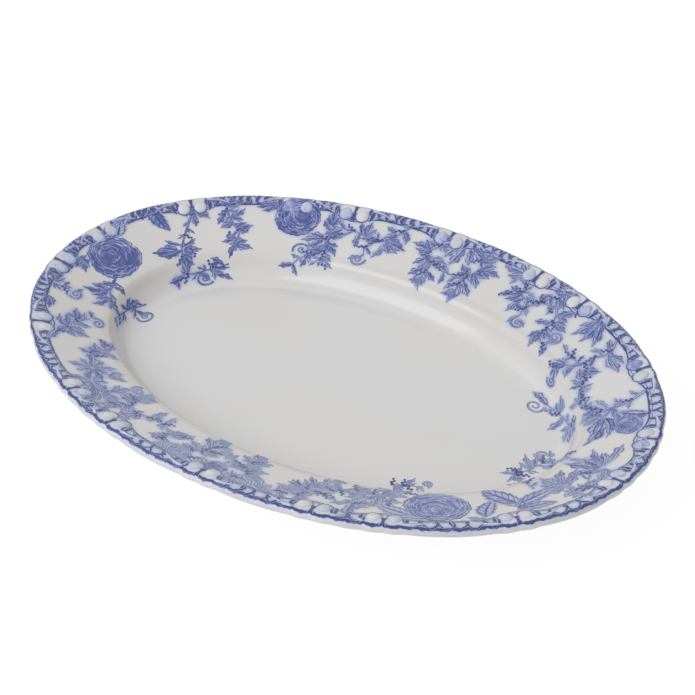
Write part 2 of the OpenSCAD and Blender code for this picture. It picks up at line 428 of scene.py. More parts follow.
class Section:
    """The clay section carried round the oval, as one grid that the body's pieces share. Its rows
    run from the floor's edge up the cove, out over the flange and the rolled edge, and back
    along the under side. A row's point is the oval drawn in by its inset, at its height."""

    def __init__(self, form):
        self.form = form
        self.run = form.columns()
        d, w = form.depth_of, form.band_w
        shoulder, floor = form.flange_w, form.floor_inset
        over, below = (9, 5, 5, 5, 15, 15, 14), (8, 4, 9, 15, 2)
        depth = graded([0, d(form.edge_r), d(0.8 * w), d(w), d(1.25 * w), d(shoulder - 3.2),
                        d(shoulder + 1.5), d(floor)], over)
        top_inset = form.inset_of(depth)
        under = lengths(form.under_inset, form.under_z)
        at = lambda s: np.interp(s, form.under_inset, under)
        low = graded([0, at(form.edge_r), at(w), at(shoulder - 5), at(floor - 3), at(floor)],
                     below)[1:]
        self.top_rows = len(depth)
        self.band_row = sum(over) - sum(over[:3])
        self.under_row = sum(over) + sum(below[:2])
        self.inset = np.append(top_inset[::-1], np.interp(low, under, form.under_inset))
        self.z = np.append(form.height_at(top_inset)[::-1], np.interp(low, under, form.under_z))
        self.rows, self.cols = len(self.inset), len(self.run)
        x, y = form.oval(form.turn_at(self.run), form.drawn_in(self.inset[:, None], self.run))
        self.points = np.stack([x, y, np.broadcast_to(self.z[:, None], x.shape)], -1)
        along = np.roll(self.points, -1, 1) - np.roll(self.points, 1, 1)
        self.normals = np.cross(along, np.gradient(self.points, axis=0))
        self.normals /= np.linalg.norm(self.normals, axis=-1, keepdims=True)
        if self.normals[5, 0, 2] < 0:
            self.normals *= -1

    def verge(self):
        """How much painted shade darkens and warms the glaze: in a broad band along the shoulder
        with a fine darker line on its outer side, strongest where the tone of the print is low, and
        over the -X end."""
        off = self.inset - self.form.flange_w
        eighth = self.form.eighth(self.run)
        band = 0.75 * bell(off + 1.0, 1.7) + 0.8 * bell(off + 3.1, 0.35)
        end = 1 - np.clip(off / (self.form.floor_inset - self.form.flange_w), 0, 1)
        band[self.top_rows:] = end[self.top_rows:] = 0
        return (band[:, None] * np.clip(1.25 - tone_at(eighth), 0, 1)
                + 0.6 * end[:, None] * bell(eighth - 4.3, 0.6))

    def halo(self, prints, reach):
        """How much blue has spread into the glaze at each point: the print's area in each cell of
        the grid, spread out by bells along the rows and the columns, and fading over the rolled
        edge."""
        form, rows, most_ink = self.form, self.top_rows, 1.2
        run, inset, area = (np.concatenate([p.centres[k] for p in prints]) for k in range(3))
        area = np.where(inset < form.floor_inset + 0.5, area, 0)
        edges = np.append(self.run, form.round)
        edges = (edges[1:] + edges[:-1]) / 2
        col = np.searchsorted(edges, np.mod(run, form.round)) % self.cols
        depth = form.depth_of(self.inset[:rows])
        middle = ((depth[1:] + depth[:-1]) / 2)[::-1]
        row = rows - 1 - np.searchsorted(middle, form.depth_of(inset))
        ink = np.zeros((rows, self.cols))
        np.add.at(ink, (row, col), area)
        tall = np.abs(np.gradient(depth))
        width = np.gradient(np.append(self.run, form.round))[:-1]
        ink /= tall[:, None] * width * form.stretch(self.run, self.inset[:rows, None])
        gap = np.abs(self.run[:, None] - self.run)
        down = bell(depth[:, None] - depth, reach) * tall
        along = bell(np.minimum(gap, form.round - gap), reach) * width
        down, along = (a / a.sum(1, keepdims=True) for a in (down, along))
        spread = np.zeros((self.rows, self.cols))
        spread[:rows] = down @ np.minimum(ink, most_ink) @ along.T
        rolled, strong, faint = 7, 0.5, 0.05
        edge = slice(rows - rolled, rows + rolled + 1)
        fall = np.linspace(strong, faint, 2 * rolled + 1)[:, None]
        side = spread[rows - rolled - 2:rows].max(0) * fall
        spread[edge] = np.maximum(spread[edge], side)
        return np.clip(spread, 0, 1)


# ---- Motifs of the print ----

def smooth_path(points, count=40):
    """A smooth curve through points: each stretch is a cubic whose slope at a point is half the
    step between that point's neighbours."""
    p = np.array(points, float)
    slope = np.gradient(p, axis=0)
    f = np.linspace(0, len(p) - 1, count)
    k = np.minimum(f.astype(int), len(p) - 2)
    t = (f - k)[:, None]
    a, b, da, db = p[k], p[k + 1], slope[k], slope[k + 1]
    return ((2 * t**3 - 3 * t**2 + 1) * a + (t**3 - 2 * t**2 + t) * da
            + (3 * t**2 - 2 * t**3) * b + (t**3 - t**2) * db)


def leaf_shape(kind, ratio):
    """Grid of a leaf of length 1 along x: u goes from stalk to tip and v from side to side. The
    half width is a sine arch drawn out to a point. A leaf with teeth has five shallow ones, and
    the other leaves have three deep lobes a side, all swept to the tip."""
    v = np.linspace(-1, 1, 5)
    if kind == S:
        u = np.append(((np.arange(5)[:, None] + [0, 0.45, 0.8, 0.97]) / 5).ravel(), 1)[:, None]
        arch = np.sin(np.pi * u ** 0.75) ** 0.8 * (0.78 + 0.22 * np.mod(u * 5, 1)) + 0.1 * (1 - u)
        swept = 0.1
    else:
        u = np.linspace(0, 1, 14)[:, None]
        lobes = 0.42 + 0.72 * np.abs(np.sin(2.5 * np.pi * u ** 0.9)) ** 0.8
        arch = np.sin(np.pi * u ** 0.8) ** 1.1 * lobes
        swept = 0.16
    return u + swept * np.abs(v) * arch, v * (0.5 * ratio * arch + 0.018), u, v


class Print:
    """One printed piece: grids of points laid on the platter by run and depth."""
    SUNK = 0.02  # how far the film's under side lies in the clay
    MARGIN = 0.06  # bare rim of a motif's square in the atlas

    def __init__(self, form, film):
        self.form, self.film, self.grids = form, film, []

    def lay(self, run, depth, x, y, u, v, tone, lift=0.0):
        """Lays copies of a flat grid: x along the edge and y inwards, from each anchor."""
        run, depth, tone = (np.asarray(a, float).reshape(-1, 1, 1) for a in (run, depth, tone))
        depth = depth + y
        run = run + x / self.form.stretch(run, self.form.inset_of(depth))
        self.grids.append(np.broadcast_arrays(run, depth, u, v, tone, lift))

    def turned(self, run, depth, angle, x, y, u, v, tone, lift=0.0):
        """Lays copies turned by an angle in degrees, where 0 is along the edge, 90 inwards."""
        a = np.radians(np.asarray(angle, float)).reshape(-1, 1, 1)
        self.lay(run, depth, x * np.cos(a) - y * np.sin(a), x * np.sin(a) + y * np.cos(a),
                 u, v, tone, lift)

    def ribbon(self, run, depth, width, tone, lift):
        """A band of the given width along a path of runs and depths: each point is moved along
        the path's normal by up to half the width to each side. v goes from side to side."""
        stretch = self.form.stretch(run, self.form.inset_of(depth))
        dr, dd = np.gradient(run) * stretch, np.gradient(depth)
        step = np.hypot(dr, dd) + 1e-9
        v = np.linspace(-1, 1, 3)
        half = (np.broadcast_to(width, run.shape) / 2)[:, None]
        at_depth = depth[:, None] + (dr / step)[:, None] * half * v
        at_run = run[:, None] - (dd / step)[:, None] * half * v / stretch[:, None]
        u = np.append(0, np.cumsum(np.hypot(np.diff(run) * stretch[1:], np.diff(depth))))
        tone = np.broadcast_to(tone, run.shape)[:, None]
        grid = np.broadcast_arrays(at_run, at_depth, u[:, None], v, tone, lift)
        self.grids.append([a[None] for a in grid])

    def finish_layout(self):
        """Sums up where the ink lies, for the halo: run, inset and area of each face."""
        form, found = self.form, []
        corners = lambda a: (a[:, 1:, 1:], a[:, :-1, :-1], a[:, 1:, :-1], a[:, :-1, 1:])
        middle = lambda a: sum(corners(a)) / 4
        for run, depth, *_ in self.grids:
            inset = form.inset_of(depth)
            x, y = corners(run * form.stretch(run, inset)), corners(depth)
            area = np.abs((x[0] - x[1]) * (y[2] - y[3]) - (y[0] - y[1]) * (x[2] - x[3])) / 2
            at_run, at_inset, *_ = form.locate(*form.plan(middle(run), middle(inset)))
            found.append([a.ravel() for a in (at_run, at_inset, area)])
        self.centres = [np.concatenate(a) for a in zip(*found)]

    def mesh(self, name, material, slot):
        """The film as thin closed slabs whose shading follows the clay. Pattern places are in the
        map Pattern; OFBake gives each motif one square of an atlas, so that its colours bake
        apart from the others."""
        form, faces, walls, atlas, base, tile = self.form, [], [], [], 0, 0
        side = math.ceil(math.sqrt(sum(len(g[0]) for g in self.grids)))
        total = sum(g[0].size for g in self.grids)
        for run, *_ in self.grids:
            copies, m, n = run.shape
            grid = np.arange(m * n).reshape(m, n)
            start = (np.arange(copies) * m * n)[:, None, None] + base
            quad = np.stack([grid[:-1, :-1], grid[:-1, 1:], grid[1:, 1:], grid[1:, :-1]], -1)
            faces.append((quad.reshape(1, -1, 4) + start).reshape(-1, 4))
            rim = np.concatenate([grid[0, :-1], grid[:-1, -1], grid[-1, :0:-1], grid[:0:-1, 0]])
            after = np.roll(rim, -1)
            wall = np.stack([after, rim, rim + total, after + total], -1)
            walls.append((wall + start).reshape(-1, 4))
            base += run.size
            cell = np.arange(tile, tile + copies)[:, None, None]
            tile += copies
            au = (cell % side + np.linspace(self.MARGIN, 1 - self.MARGIN, m)[:, None]) / side
            av = (cell // side + np.linspace(self.MARGIN, 1 - self.MARGIN, n)) / side
            atlas.append(np.stack(np.broadcast_arrays(au, av), -1).reshape(-1, 2))
        run, depth, u, v, tone, lift = (np.concatenate([g[k].ravel() for g in self.grids])
                                        for k in range(6))
        x, y = form.plan(run, form.inset_of(depth))
        points, normals = form.surface(x, y, self.film + lift)
        lower, _ = form.surface(x, y, -self.SUNK)
        quads, walls = np.concatenate(faces), np.concatenate(walls)
        a, b, d = (points[quads[:, k]] for k in (0, 1, 3))
        turned = np.cross(b - a, d - a)[:, 2] < 0
        up = np.where(turned[:, None], quads[:, ::-1], quads)
        flipped = np.zeros(total, bool)
        flipped[quads[turned].ravel()] = True
        walls = np.where(flipped[walls[:, :1]], walls[:, ::-1], walls)
        quads = np.concatenate([up, up[:, ::-1] + total, walls])
        twice = lambda a: np.concatenate([a, a])
        ob = make_mesh(name, np.concatenate([points, lower]), quads, normals=twice(normals),
                       values={"tone": twice(tone)},
                       maps={"OFBake": twice(np.concatenate(atlas)),
                             "Pattern": twice(np.stack([u, v], -1))})
        settle(ob, material, slot)


# Dark blue towards the back, softer and greyer along the front: tone against eighths of the edge
TONES = (
    (0, 0.5), (0.6, 0.6), (1.2, 0.75), (2, 0.85), (3, 1.05), (4.1, 1.2), (4.5, 0.9), (4.9, 0.6),
    (5.3, 0.5), (6, 0.42), (7, 0.42), (7.5, 0.45), (8, 0.5),
)

# Stems: width as a share of a main stem, and points as (eighths of the edge, inset)
STEMS = (
    (1, ((0.5, 8), (0.44, 16), (0.41, 24), (0.41, 31), (0.48, 35.2), (0.58, 34))),
    (0.6, ((0.58, 34), (0.68, 30.4), (0.77, 27.4))),
    (0.8, ((0.89, 7), (0.82, 13.9), (0.83, 20.9), (0.81, 26.9), (0.86, 32.9), (0.87, 37.9))),
    (0.6, ((0.81, 26.9), (0.88, 27.4), (0.95, 27.9))),
    (0.7, ((0.3, 38), (0.42, 40), (0.56, 42), (0.72, 44.9))),
    (0.8, ((1.29, 4), (1.29, 12), (1.22, 17), (1.18, 23), (1.16, 31))),
    (0.6, ((1.16, 29), (1.11, 31.9), (1.06, 31.4))),
    (0.8, ((1.26, 15), (1.33, 16), (1.4, 18.5), (1.46, 18), (1.5, 10))),
    (0.5, ((1.35, 17), (1.37, 23), (1.35, 28.5))),
    (0.8, ((2.2, 5), (2.25, 12), (2.29, 17), (2.38, 19), (2.48, 17), (2.62, 16))),
    (0.5, ((2.35, 19), (2.41, 25), (2.4, 29.5))),
    (0.9, ((2.6, 17), (2.64, 24), (2.64, 31), (2.66, 36.5))),
    (0.6, ((2.66, 29), (2.75, 35), (2.85, 38.5))),
    (0.8, ((3.15, 4), (3.18, 10), (3.17, 18), (3.15, 24), (3.18, 30), (3.2, 35))),
    (0.9, ((3.29, 8), (3.37, 12), (3.43, 19), (3.49, 26), (3.53, 31), (3.56, 37))),
    (0.5, ((3.26, 38.5), (3.45, 39.5), (3.66, 39.5))),
    (0.8, ((4, 28), (4.1, 31), (4.18, 32), (4.3, 37))),
    (0.5, ((3.98, 43), (4.14, 40.5), (4.37, 38))), (0.7, ((4.33, 6.5), (4.32, 12.5), (4.33, 16.5))),
    (0.8, ((4.76, 7.5), (4.67, 14.5), (4.6, 19.5), (4.54, 24.5), (4.51, 27.5))),
    (0.7, ((4.96, 22.5), (4.88, 25.5), (4.84, 28.5), (4.82, 32.5), (4.73, 33.5))),
    (0.9, ((5.33, 8), (5.33, 15), (5.36, 20), (5.32, 26), (5.28, 34.5))),
    (0.8, ((5.36, 21), (5.45, 20), (5.55, 24), (5.66, 20.5), (5.71, 12.5), (5.75, 7))),
    (0.8, ((6.26, 8), (6.34, 12.5), (6.41, 17.5), (6.46, 22.5), (6.5, 27.5))),
    (0.5, ((6.41, 7), (6.42, 11.5), (6.42, 17.5))), (0.5, ((6.45, 21), (6.5, 20.5), (6.58, 19.5))),
    (0.8, ((6.67, 10), (6.67, 18.5), (6.66, 25.5), (6.68, 31.5))),
    (0.8, ((6.53, 29.5), (6.62, 26), (6.7, 26.5), (6.78, 29.5), (6.93, 33.5))),
    (0.8, ((7.37, 9), (7.4, 13.3), (7.43, 18.3))), (0.8, ((7.64, 9), (7.7, 15), (7.7, 22))),
    (0.5, ((7.64, 9), (7.75, 13), (7.84, 18), (7.91, 21))),
    (0.5, ((7.68, 51), (7.78, 52), (7.9, 51), (8.02, 48.5), (8.12, 46.5))),
    (0.4, ((6.86, 53), (6.96, 54), (7.08, 53.5))),
    (0.6, ((7.58, 27), (7.62, 36), (7.7, 44), (7.78, 52))),
    (0.5, ((7.98, 50), (8.02, 44), (7.98, 37), (7.93, 31))),
    (0.5, ((6.78, 30), (6.8, 38), (6.86, 46), (6.94, 53.5))),
)

# Kinds of leaf: three leaflets, one, one with teeth, and two
L, P, S, T = "lobed", "plain", "serrate", "twin"

# Leaves: kind, place of the stalk, length, width as a share of it, direction, tone added if any
LEAVES = (
    (L, 0.34, 26, 19, 0.5, 178), (L, 0.37, 27, 10, 0.5, 128), (P, 0.39, 23, 9, 0.35, 205),
    (P, 0.41, 24, 9, 0.3, 20, -0.3), (P, 0.41, 22, 8, 0.3, 196), (P, 0.4, 30, 9, 0.3, 130),
    (S, 0.34, 7.5, 13, 0.5, 82), (P, 0.21, 9, 7, 0.5, 215), (P, 0.48, 34, 6, 0.4, 215),
    (P, 0.56, 34, 7, 0.4, 320), (P, 0.66, 30.9, 6, 0.4, 95), (L, 0.8, 14.9, 12, 0.5, 188, -0.2),
    (P, 0.84, 12.9, 7, 0.4, 330, -0.2), (P, 0.84, 14.9, 7, 0.35, 40, -0.2),
    (L, 0.76, 26.9, 8, 0.5, 215, -0.1), (P, 0.79, 27.9, 8, 0.4, 150, -0.1),
    (L, 0.85, 31.9, 8, 0.5, 40), (P, 0.84, 29.9, 8, 0.35, 120), (L, 0.4, 40, 12, 0.45, 176),
    (P, 0.44, 40.5, 9, 0.35, 195), (P, 0.5, 41, 10, 0.4, 95, -0.2), (L, 0.58, 42, 9, 0.45, 315),
    (P, 0.7, 44.9, 11, 0.35, 352), (P, 1.05, 6, 15, 0.3, 96), (P, 1.04, 6, 15, 0.28, 118),
    (P, 1.04, 6, 16, 0.26, 133), (P, 1.05, 6, 10, 0.35, 80), (L, 1.04, 9, 9, 0.45, 150),
    (L, 1.29, 6, 9, 0.55, 170), (L, 1.29, 6, 8, 0.55, 10), (P, 1.29, 10, 7, 0.5, 150, 0.1),
    (L, 1.2, 18, 9, 0.5, 230, 0.1), (L, 1.18, 21, 9, 0.5, 182), (P, 1.19, 22, 8, 0.4, 35),
    (T, 1.16, 27, 8, 0.5, 160, 0.1), (L, 1.17, 28, 9, 0.4, 82, 0.2), (P, 1.05, 31.9, 6, 0.4, 105),
    (L, 1.35, 16.5, 7, 0.5, 265), (P, 1.44, 19, 11, 0.33, 86, -0.3),
    (L, 1.46, 18, 11, 0.5, 28, 0.1), (P, 1.42, 18, 8, 0.4, 130), (P, 1.47, 15, 8, 0.4, 300),
    (P, 1.36, 23, 7, 0.4, 20), (P, 1.34, 30, 6, 0.45, 175, -0.3), (L, 1.53, 8, 13, 0.55, 358, -0.3),
    (P, 1.54, 9, 8, 0.4, 60, -0.3), (L, 2.31, 18, 12, 0.5, 160), (P, 2.29, 19, 8, 0.4, 130),
    (P, 2.31, 19, 11, 0.33, 94, -0.4), (L, 2.42, 18, 9, 0.5, 270), (P, 2.46, 17, 9, 0.4, 85),
    (L, 2.62, 16, 10, 0.5, 275, 0.1), (P, 2.56, 17, 8, 0.4, 30), (P, 2.27, 13, 7, 0.4, 325),
    (P, 2.23, 10, 8, 0.4, 130), (P, 2.41, 30, 7, 0.4, 12), (L, 2.63, 21, 9, 0.55, 185),
    (L, 2.65, 24, 12, 0.45, 8), (L, 2.64, 27, 9, 0.5, 150), (T, 2.65, 31, 8, 0.55, 30, 0.2),
    (L, 2.65, 34, 8, 0.5, 120), (P, 2.62, 19, 8, 0.4, 320), (P, 2.72, 33, 9, 0.4, 60),
    (P, 2.83, 38, 8, 0.35, 10), (L, 2.93, 8, 9, 0.5, 5, 0.1), (L, 2.91, 6, 8, 0.5, 40),
    (L, 3.17, 15, 9, 0.5, 200), (P, 3.19, 11, 9, 0.4, 62, 0.1), (L, 3.17, 18, 7, 0.5, 20),
    (L, 3.16, 22, 9, 0.5, 190), (L, 3.17, 27, 8, 0.5, 30), (L, 3.19, 31, 9, 0.5, 172),
    (P, 3.19, 32, 7, 0.4, 50), (L, 3.17, 7, 8, 0.6, 175), (L, 3.34, 10, 8, 0.5, 150),
    (P, 3.36, 11, 8, 0.4, 100), (P, 3.33, 9, 7, 0.4, 20), (S, 3.54, 2, 17, 0.5, 86, 0.1),
    (L, 3.55, 31, 14, 0.45, 350, 0.1), (P, 3.51, 29, 8, 0.35, 195), (L, 3.52, 31, 9, 0.5, 165),
    (P, 3.51, 28, 9, 0.3, 330), (L, 3.54, 33, 9, 0.5, 110), (L, 3.4, 39.5, 10, 0.4, 190),
    (P, 3.5, 39.5, 8, 0.4, 150), (P, 3.58, 40, 9, 0.35, 10), (P, 3.36, 41, 8, 0.4, 175),
    (S, 3.8, 12, 12, 0.55, 222, -0.7), (S, 3.76, 7, 10, 0.5, 200, -0.7),
    (S, 3.86, 8, 11, 0.55, 190, -0.5), (L, 4.18, 31, 12, 0.5, 305, 0.1),
    (L, 4.23, 34, 11, 0.45, 340), (P, 4.1, 31, 7, 0.4, 300), (P, 4.13, 32, 7, 0.4, 105),
    (L, 4.16, 40, 9, 0.45, 190), (P, 4.1, 42, 8, 0.4, 100), (P, 4.33, 13.5, 6, 0.4, 190),
    (P, 4.33, 17.5, 6, 0.4, 130), (L, 4.31, 8.5, 8, 0.5, 170, 0.1), (L, 4.43, 8, 9, 0.5, 12, 0.1),
    (L, 4.13, 9, 10, 0.6, 150, 0.1), (L, 4.07, 10, 10, 0.6, 60, 0.1),
    (L, 4.64, 16.5, 13, 0.45, 178), (L, 4.64, 17.5, 11, 0.5, 42), (P, 4.6, 19.5, 9, 0.35, 90, -0.2),
    (L, 4.55, 22.5, 9, 0.5, 200), (P, 4.71, 11.5, 9, 0.4, 130), (P, 4.69, 12.5, 9, 0.4, 330),
    (P, 4.5, 28.5, 6, 0.4, 190), (L, 4.86, 26.5, 9, 0.5, 240), (L, 4.84, 27.5, 8, 0.5, 190),
    (L, 4.8, 33.5, 10, 0.5, 185), (P, 4.83, 29.5, 8, 0.4, 60), (P, 4.81, 33.5, 7, 0.4, 250),
    (P, 5.08, 24.5, 8, 0.45, 100), (P, 5.09, 24.5, 8, 0.35, 130), (P, 5.09, 24.5, 8, 0.35, 60),
    (L, 5.23, 20.5, 10, 0.45, 95), (L, 5.35, 20, 10, 0.5, 275, 0.1), (L, 5.34, 17, 8, 0.5, 200),
    (L, 5.34, 24, 10, 0.5, 172), (L, 5.32, 26, 10, 0.5, 80), (P, 5.36, 21, 9, 0.4, 320),
    (L, 5.3, 30, 8, 0.5, 40), (P, 5.34, 13, 8, 0.4, 310), (L, 5.46, 20.5, 9, 0.5, 265),
    (P, 5.41, 14, 8, 0.5, 350, 0.1), (P, 5.5, 23, 10, 0.33, 92), (P, 5.58, 24, 9, 0.36, 84, -0.2),
    (L, 5.68, 19.5, 11, 0.45, 45), (P, 5.71, 13.5, 8, 0.4, 320), (L, 5.7, 15.5, 8, 0.5, 200),
    (L, 5.78, 8, 12, 0.6, 40, -0.3), (L, 5.78, 8, 11, 0.5, 75, -0.3),
    (L, 6.22, 8, 12, 0.6, 140, -0.3), (L, 6.26, 9, 10, 0.5, 105, -0.2),
    (P, 6.34, 12.5, 8, 0.4, 300), (L, 6.38, 15.5, 8, 0.5, 150), (L, 6.41, 13.5, 9, 0.5, 30),
    (L, 6.42, 18.5, 10, 0.45, 150), (P, 6.44, 21.5, 9, 0.4, 170), (L, 6.47, 23.5, 11, 0.45, 118),
    (P, 6.5, 26.5, 9, 0.36, 84), (L, 6.48, 24.5, 8, 0.45, 20), (P, 6.67, 16.5, 12, 0.45, 268),
    (L, 6.67, 17.5, 11, 0.4, 5), (P, 6.66, 18.5, 9, 0.4, 222), (P, 6.66, 24.5, 9, 0.3, 60),
    (L, 6.6, 26.5, 9, 0.5, 160), (P, 6.58, 27.5, 8, 0.4, 110), (L, 6.72, 26.5, 9, 0.5, 220),
    (L, 6.79, 28.5, 12, 0.45, 270, 0.1), (L, 6.8, 29.5, 11, 0.5, 20), (L, 6.74, 28.5, 9, 0.5, 150),
    (L, 6.82, 25.5, 8, 0.5, 330), (P, 6.86, 31.5, 8, 0.4, 60), (S, 6.93, 12, 17, 0.5, 158, -0.6),
    (S, 6.97, 9, 12, 0.4, 178, -0.5), (S, 7.24, 10.5, 16, 0.55, 84, 0.05),
    (S, 7.43, 18.3, 20, 0.55, 118, 0.05), (S, 7.4, 12.3, 16, 0.42, 8, 0.05),
    (S, 7.42, 17.3, 19, 0.45, 27, -0.1), (P, 7.16, 11, 10, 0.4, 330),
    (P, 7.7, 15, 8, 0.5, 205, -0.3), (P, 7.7, 14, 8, 0.5, 350), (L, 7.7, 21, 13, 0.5, 112),
    (L, 7.71, 21, 13, 0.4, 32), (P, 7.71, 22, 12, 0.4, 70), (L, 7.69, 20, 12, 0.5, 165),
    (P, 7.78, 14, 8, 0.35, 300), (L, 7.91, 17, 17, 0.4, 106, 0.1), (L, 7.92, 17, 14, 0.4, 82, 0.1),
    (L, 7.93, 17, 14, 0.4, 60, 0.1), (P, 7.93, 16, 10, 0.4, 25, 0.1), (L, 7.91, 14, 9, 0.5, 185),
    (P, 7.97, 15.5, 13, 0.35, 4, -0.2), (L, 7.93, 50.5, 9, 0.45, 62, -0.1),
    (P, 7.8, 52, 7, 0.4, 120), (P, 7.7, 51.5, 7, 0.35, 8), (P, 8.03, 48.5, 7, 0.4, 40, -0.2),
    (L, 7.63, 40, 7, 0.5, 160), (L, 7.67, 41, 7, 0.5, 30), (P, 8.02, 43, 7, 0.4, 20),
    (P, 8, 40, 6, 0.4, 150), (L, 6.81, 40, 7, 0.5, 150), (P, 6.84, 43, 6, 0.4, 25),
)

# Fans of leaves round a point: place, how many, length, first and last direction
FANS = (
    (5, 20.5, 9, 10.5, 0, 320), (5.13, 15.5, 7, 9, 20, 330), (5.24, 14.5, 8, 10, 0, 315),
    (5.28, 10, 5, 9, 150, 300),
)

# Curls: place, size, direction in which the stem comes in, hand
CURLS = (
    (0.87, 38.9, 3, 90, 1), (0.69, 45.9, 4.4, 150, -1), (1.06, 29.4, 3.6, 200, 1),
    (1.36, 30, 3.5, 70, 1), (2.39, 31, 3.6, 110, -1), (2.83, 34, 4.2, 300, -1),
    (3.4, 43, 4.2, 60, -1), (4.14, 44, 4.4, 40, 1), (4.36, 16.5, 3.4, 30, 1),
    (4.5, 29.5, 3.4, 120, -1), (5.21, 35, 3.6, 200, 1), (6.6, 33.5, 2.8, 100, 1),
    (8.12, 47.5, 3.2, 15, 1), (7.11, 53.5, 2.2, 10, 1),
)

# Strings of berries: place, direction, how many, size
BERRIES = (
    (0.42, 29.5, 55, 6, 0.85), (0.53, 33.5, 350, 8, 0.8), (0.7, 28.9, 330, 5, 0.7),
    (0.83, 19.4, 88, 5, 0.75), (0.88, 27.4, 3, 6, 0.75), (1.34, 16.5, 30, 6, 0.85),
    (1.16, 10, 110, 4, 0.7), (1.17, 25, 88, 7, 0.8), (1.49, 12, 120, 5, 0.75),
    (1.51, 20, 40, 6, 0.75), (1.25, 18, 330, 4, 0.7), (2.33, 18.8, 5, 6, 0.9),
    (2.27, 14, 50, 4, 0.7), (2.56, 20, 10, 5, 0.7), (2.59, 22, 30, 5, 0.8), (2.64, 31, 88, 5, 0.8),
    (3.2, 24, 60, 4, 0.7), (3.47, 31, 100, 5, 0.8), (4.64, 17.5, 35, 4, 0.7),
    (4.85, 23.5, 110, 5, 0.7), (5.5, 22, 25, 6, 0.75), (5.7, 13.5, 120, 6, 0.75),
    (5.36, 22, 110, 5, 0.8), (5.73, 22.5, 40, 5, 0.7), (6.49, 20.5, 352, 6, 0.85),
    (6.4, 22.5, 130, 5, 0.7), (6.83, 19.5, 90, 5, 0.8), (6.56, 24.5, 150, 5, 0.7),
    (6.14, 18.5, 60, 5, 0.7), (5.89, 18.5, 120, 5, 0.7), (7.92, 20, 75, 6, 0.7),
    (7.74, 12, 330, 4, 0.7), (1.8, 20, 60, 4, 0.7), (2.05, 20, 120, 4, 0.7),
    (7.84, 52, 110, 6, 0.8), (7.79, 52, 60, 5, 0.75), (6.87, 53.5, 80, 4, 0.75),
    (6.94, 54, 70, 4, 0.75),
)

# Roses: place, radius, turn
ROSES = (
    (0.27, 15.5, 6.6, 20), (2.81, 13, 12, 95), (3.92, 20.5, 13.6, 200), (7.06, 21, 14, 150),
    (6.01, 12.5, 5.5, 90),
)

# How far each kind of mark stands off the film, so that none cuts through another
LIFTS = {"line": 0.02, "second line": 0.025, "stroke": 0.03, "blot": 0.035, "bead ring": 0.04,
         "stem": 0.02, "leaf": 0.03, "rose": 0.05, "curl": 0.05, "berry": 0.09}

# Middles of the two mirrored devices, in eighths of the edge
DEVICES = (1.90, 6.00)

# The device, with its places given from its middle
DEVICE_STEMS = ((0.8, ((0.10, 5), (0.12, 12), (0.16, 17), (0.11, 22), (0.01, 25))),
                (0.7, ((0.11, 21), (0.11, 27), (0.12, 32))))
DEVICE_LEAVES = (
    (L, 0.15, 16, 11, 0.5, -12), (L, 0.13, 19, 10, 0.5, 38), (L, 0.13, 12, 9, 0.5, -40),
    (L, 0.12, 21, 8, 0.5, 195), (P, 0.12, 25, 10, 0.4, 48), (P, 0.11, 27, 8, 0.4, 140),
    (L, 0.12, 32, 7, 0.5, 95, -0.1), (P, 0.03, 8, 10, 0.45, 66, -0.25),
    (P, 0.04, 7, 10, 0.45, 30, -0.25), (P, 0.09, 7, 8, 0.5, -5),
)
DEVICE_BERRIES = ((0.09, 22.5, 160, 5, 0.75), (0.15, 17, 40, 4, 0.7))


def tone_at(eighth, added=0.0):
    """How dark the print is at a place round the edge."""
    return np.clip(np.interp(np.mod(eighth, 8), *zip(*TONES)) + added, 0, 1.2)


def lay_leaves(sheet, form, rows):
    """Lays leaves given as rows of the list of leaves, each bent and turned a little by chance."""
    rng = np.random.default_rng(3)
    for k, (kind, eighth, inset, long, ratio, angle, *added) in enumerate(rows):
        run, depth = form.spot(eighth, inset)
        for m, (turn, share, wide) in enumerate(LEAFLETS[kind]):
            x, y, u, v = leaf_shape(kind, ratio * wide / share)
            bend = rng.uniform(-0.35, 0.35) - 0.008 * turn
            reach = long * share
            sheet.turned(run, depth, angle + turn + rng.uniform(-6, 6),
                         x * reach, (y + bend * u * (u - 0.15)) * reach, u, v,
                         tone_at(eighth, sum(added)), LIFTS["leaf"] + 0.002 * (k % 9) + 0.004 * m)


def lay_fans(sheet, form):
    """Leaves spread round a middle, like a daisy; every second one is shorter."""
    x, y, u, v = leaf_shape(P, 0.33)
    shorter, off_middle = 0.25, 0.8
    for eighth, inset, count, long, first, last in FANS:
        reach = long * (1 - shorter * (np.arange(count) % 2)).reshape(-1, 1, 1)
        sheet.turned(*form.spot(eighth, inset), np.linspace(first, last, count),
                     x * reach + off_middle, y * reach, u, v, tone_at(eighth), LIFTS["leaf"])


def petal_ring(count, inner, outer, spread, wave):
    """Fan-shaped petals: u goes out from the inner to the outer radius and v over the petal's
    angle. The outer rim is an arch with a small wave."""
    u, v = np.linspace(0, 1, 7)[:, None], np.linspace(-1, 1, 11)
    rim = outer * (1 - 0.16 * np.abs(v) ** 4 + wave * np.cos(3 * np.pi * v))
    radius = inner + (rim - inner) * u
    angle = np.radians(spread) * v * (0.7 + 0.3 * u)
    middle = np.radians(np.arange(count) * 360 / count)[:, None, None]
    return radius * np.cos(middle + angle), radius * np.sin(middle + angle), u, v


